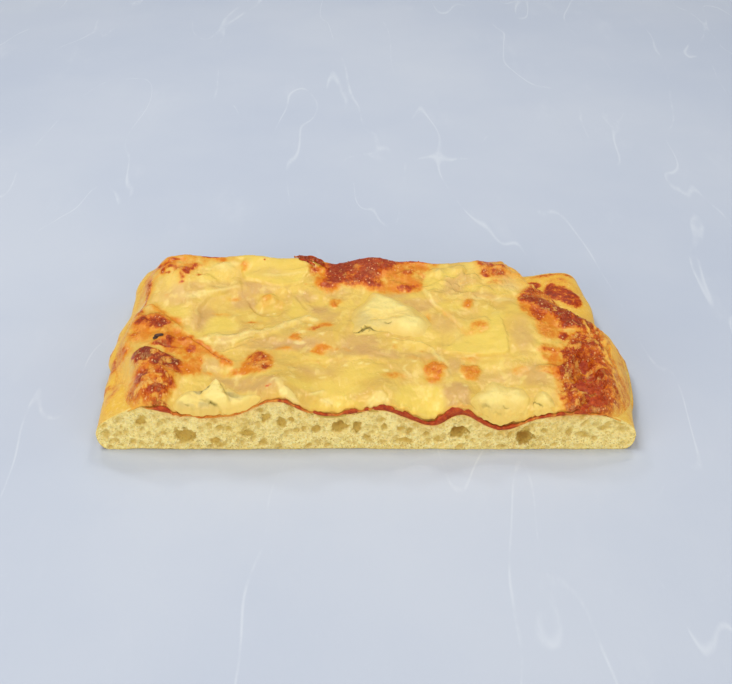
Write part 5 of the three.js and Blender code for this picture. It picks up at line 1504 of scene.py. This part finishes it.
def sauceFinish():
    f = Finish("bakedTomato")
    place = f.place()
    mid, fine, tiny = f.noise(place, 5, 3, 0.6), f.noise(place, 1.8, 4, 0.65), f.noise(place, 0.7, 3, 0.6)
    colour = f.mixed(fine.step(0.35, 0.7), (166, 46, 16), (206, 86, 26))
    thin = (1 - f.attribute("deep")) * 1.2 + mid - 0.5
    colour = f.over(colour,
        (thin.step(0.1, 1.0), f.mixed(mid.step(0.4, 0.6), (230, 150, 56), (214, 118, 40))),
        (tiny.step(0.5, 0.3) * 0.35, (124, 34, 14)))
    return f.shaded(
        Base_Color=colour, Roughness=0.36 + fine * 0.12, Normal=f.bump(fine * 0.5 + tiny * 0.3, 0.8),
        Specular_IOR_Level=0.4, Specular_Tint=glossTint,
        Subsurface_Weight=0.08, Subsurface_Radius=(1.0, 0.35, 0.15), Subsurface_Scale=0.001)


def blueFinish():
    f = Finish("veinedCheese")
    place = f.place()
    vein, white, grey, rim = (f.attribute(name) for name in ("vein", "white", "grey", "rim"))
    cloudy, mid = f.noise(place, 6, 4), f.noise(place, 3, 4, 0.6, 0.6)
    fine, tiny = f.noise(place, 1.8, 4, 0.65), f.noise(place, 0.6, 3, 0.6)
    colour = f.mixed(cloudy.step(0.35, 0.7), (240, 212, 122), (233, 202, 110))
    colour = f.over(colour,
        # white paste, partly painted light on the lit faces
        (white * 0.9, (248, 227, 140)),
        (mid.step(0.5, 0.62) * 0.35, (250, 224, 140)),
        # grey-green, partly painted shade on facets turned from the light
        (grey * (0.45 + mid), (202, 184, 122)),
        (rim * 0.9, (232, 194, 96)),
        (fine.step(0.56, 0.72) * 0.35, (214, 186, 92)))
    olive = vein * (0.5 + fine)
    colour = f.over(colour,
        (olive.step(0.12, 0.6) * 0.7, (176, 150, 66)),
        (olive.step(0.45, 0.85), f.mixed(tiny.step(0.4, 0.6), (92, 82, 28), (150, 130, 56))))
    return f.shaded(
        Base_Color=colour, Roughness=0.34 + mid * 0.12,
        Normal=f.bump(mid * 0.3 + fine * 0.3 + tiny * 0.12 - vein * 0.4, 0.8),
        Specular_IOR_Level=0.45, Specular_Tint=glossTint,
        Subsurface_Weight=0.2, Subsurface_Radius=(1.0, 0.7, 0.35), Subsurface_Scale=0.002)


def fleckFinish():
    f = Finish("charredSkin")
    tiny = f.noise(f.place(), 0.8, 3, 0.6)
    colour = f.mixed(tiny.step(0.4, 0.7), (44, 24, 14), (104, 56, 28))
    return f.shaded(Base_Color=colour, Roughness=0.5, Normal=f.bump(tiny, 0.5))


bakedDough, meltedCheese, bakedTomato = breadFinish(), cheeseFinish(), sauceFinish()
veinedCheese, charredSkin = blueFinish(), fleckFinish()
print("pizza slice: finishes made")

finished(makeMesh("doughPiece", *makeBread()), bakedDough, "baked_dough", "dough_base")
finished(makeMesh("saucePiece", *makeSauce()), bakedTomato, "tomato_sauce", "tomato_sauce")
cheesePiece = makeMesh("cheesePiece", *makeCheese())
finished(cheesePiece, meltedCheese, "melted_cheese", "melted_cheese")
for seed, (node, spec) in enumerate(blueCheeses.items()):
    name = "blueCheese" + node.split("_")[-1].capitalize()
    finished(makeMesh(name, *makeBlueCheese(spec, 100 + 7 * seed)), veinedCheese, "blue_cheese", node)
finished(makeMesh("burntFleck", *makeScraps(scraps["burntFleck"], 3, True)), charredSkin, "melted_cheese")
finished(makeMesh("burntCurls", *makeScraps(scraps["burntCurls"], 5)), meltedCheese, "melted_cheese")


# Small toasted grains over the blistered places, scattered by Geometry Nodes.

grains = {"perSquareMetre": 260000, "least": 0.4, "most": 0.95, "seed": 12}


def scatterTree():
    tree = bpy.data.node_groups.new("toastedGrains", "GeometryNodeTree")
    face = tree.interface
    face.new_socket("Geometry", in_out="INPUT", socket_type="NodeSocketGeometry")
    for label, kind in (("Density", "Float"), ("Smallest", "Float"), ("Largest", "Float"), ("Seed", "Int"),
        ("Material", "Material")):
        face.new_socket(label, in_out="INPUT", socket_type="NodeSocket" + kind)
    face.new_socket("Geometry", in_out="OUTPUT", socket_type="NodeSocketGeometry")

    def add(kind, settings=None, **sockets):
        node = tree.nodes.new(kind)
        for key, value in (settings or {}).items():
            setattr(node, key, value)
        for key, value in sockets.items():
            found = next(s for s in node.inputs if s.name == key.replace("_", " ") and s.enabled)
            if isinstance(value, bpy.types.NodeSocket):
                tree.links.new(value, found)
            else:
                found.default_value = value
        return node

    def product(first, second):
        node = add("ShaderNodeMath", {"operation": "MULTIPLY"})
        tree.links.new(first, node.inputs[0])
        tree.links.new(second, node.inputs[1])
        return node.outputs[0]

    given = add("NodeGroupInput").outputs
    grainy, toasted = (add("GeometryNodeInputNamedAttribute", {"data_type": "FLOAT"},
        Name=name).outputs["Attribute"] for name in ("grain", "brown"))
    density = product(product(grainy, toasted), given["Density"])
    spread = add("GeometryNodeDistributePointsOnFaces", {"distribute_method": "RANDOM"},
        Mesh=given["Geometry"], Density=density, Seed=given["Seed"])
    ball = add("GeometryNodeMeshIcoSphere", Radius=0.5 * mm, Subdivisions=1)
    size = add("FunctionNodeRandomValue", {"data_type": "FLOAT"}, Min=given["Smallest"],
        Max=given["Largest"], Seed=given["Seed"])
    squash = add("ShaderNodeCombineXYZ", None, X=1.0, Y=0.85, Z=0.6)
    scaled = add("ShaderNodeVectorMath", {"operation": "SCALE"}, Vector=squash.outputs[0],
        Scale=size.outputs["Value"])
    turn = add("FunctionNodeRandomValue", {"data_type": "FLOAT_VECTOR"}, Min=(-0.4, -0.4, 0),
        Max=(0.4, 0.4, 6.28), Seed=given["Seed"])
    copies = add("GeometryNodeInstanceOnPoints", None, Points=spread.outputs["Points"],
        Instance=ball.outputs["Mesh"], Rotation=turn.outputs["Value"], Scale=scaled.outputs[0])
    real = add("GeometryNodeRealizeInstances", None, Geometry=copies.outputs["Instances"])
    smooth = add("GeometryNodeSetShadeSmooth", None, Geometry=real.outputs["Geometry"])
    coated = add("GeometryNodeSetMaterial", None, Geometry=smooth.outputs["Geometry"],
        Material=given["Material"])
    add("NodeGroupOutput", None, Geometry=coated.outputs["Geometry"])
    return tree


def scattered(name, surface, tree, inputs):
    carrier = placed(name + "Carrier", surface.data)
    modifier = carrier.modifiers.new("scatter", "NODES")
    modifier.node_group = tree
    for item in tree.interface.items_tree:
        if item.in_out == "INPUT" and item.name in inputs:
            modifier[item.identifier] = inputs[item.name]
    shown = carrier.evaluated_get(bpy.context.evaluated_depsgraph_get())
    piece = placed(name, bpy.data.meshes.new_from_object(shown))
    piece.data.name = name
    bpy.data.objects.remove(carrier)
    return piece


toastedGrains = scattered("toastedGrains", cheesePiece, scatterTree(), {
    "Density": grains["perSquareMetre"], "Smallest": grains["least"], "Largest": grains["most"],
    "Seed": grains["seed"], "Material": meltedCheese})
finished(toastedGrains, meltedCheese, "melted_cheese")


# The table, the light and the camera.

def tableFinish():
    f = Finish("paleTable")
    place = f.place()
    wide, streaks = f.noise(place, 240, 5, 0.55), f.noise(f.place((1, 0.35, 1)), 30, 6, 0.65)
    colour = f.mixed(wide.step(0.3, 0.7), (187, 196, 212), (198, 205, 217))
    colour = f.mixed(streaks.step(0.55, 0.85) * 0.5, colour, (208, 214, 224))
    scratch = 1 - (f.noise(f.place((1, 0.25, 1)), 60, 2, 0.5, 0.3) - 0.5).size().step(0.0, 0.006)
    colour = f.mixed(scratch * streaks.step(0.45, 0.6) * 0.5, colour, (218, 224, 232))
    return f.shaded(Base_Color=colour, Roughness=0.7, Normal=f.bump(streaks, 0.3))


table = bpy.data.meshes.new("table")
reach = 6.0
table.from_pydata([(-reach, -reach, 0), (reach, -reach, 0), (reach, reach, 0), (-reach, reach, 0)], [],
    [(0, 1, 2, 3)])
floor = placed("table", table)
table.materials.append(tableFinish())

light = {"sky": 0.2, "skyColour": (1.0, 1.0, 1.0), "panels": [
    # place, size, watts, colour: two low panels in front, one above, one right, three behind for the gloss
    ((-0.75, -1.0, 0.42), 0.9, 7.0, (1.0, 0.99, 0.97)), ((0.75, -1.0, 0.42), 0.9, 5.8, (1.0, 0.99, 0.97)),
    ((-0.4, 0.0, 1.25), 0.5, 8.0, (1.0, 1.0, 1.0)), ((0.3, 0.75, 1.0), 0.4, 1.8, (1.0, 1.0, 1.0)),
    ((1.1, 0.1, 0.42), 0.4, 1.3, (1.0, 0.99, 0.97)),
    ((-0.35, 0.65, 0.72), 0.1, 1.0, (1.0, 1.0, 1.0)), ((0.25, 0.55, 0.95), 0.1, 0.8, (1.0, 1.0, 1.0)),
]}
world = bpy.data.worlds.new("studio")
bpy.context.scene.world = world
world.use_nodes = True
sky = world.node_tree.nodes["Background"].inputs
sky["Color"].default_value, sky["Strength"].default_value = (*light["skyColour"], 1), light["sky"]
for number, (place, size, watts, colour) in enumerate(light["panels"]):
    lamp = bpy.data.lights.new(f"panel{number}", "AREA")
    lamp.energy, lamp.size, lamp.color = watts, size, colour
    panel = placed(lamp.name, lamp)
    panel.location = place
    panel.rotation_euler = (-Vector(place)).to_track_quat("-Z", "Y").to_euler()

view = {"target": Vector((0, 20.42, 0)) * mm, "distance": 511.2 * mm, "elevation": 33.0, "lens": 59.02,
    "sensor": 36.0}
lens = bpy.data.cameras.new("camera")
lens.lens, lens.sensor_width, lens.sensor_fit = view["lens"], view["sensor"], "HORIZONTAL"
lens.clip_start = 0.01
camera = placed("camera", lens)
tilt = math.radians(view["elevation"])
camera.location = view["target"] + view["distance"] * Vector((0, -math.cos(tilt), math.sin(tilt)))
camera.rotation_euler = (math.radians(90) - tilt, 0, 0)
bpy.context.scene.camera = camera
bpy.context.scene.view_settings.view_transform = "Standard"
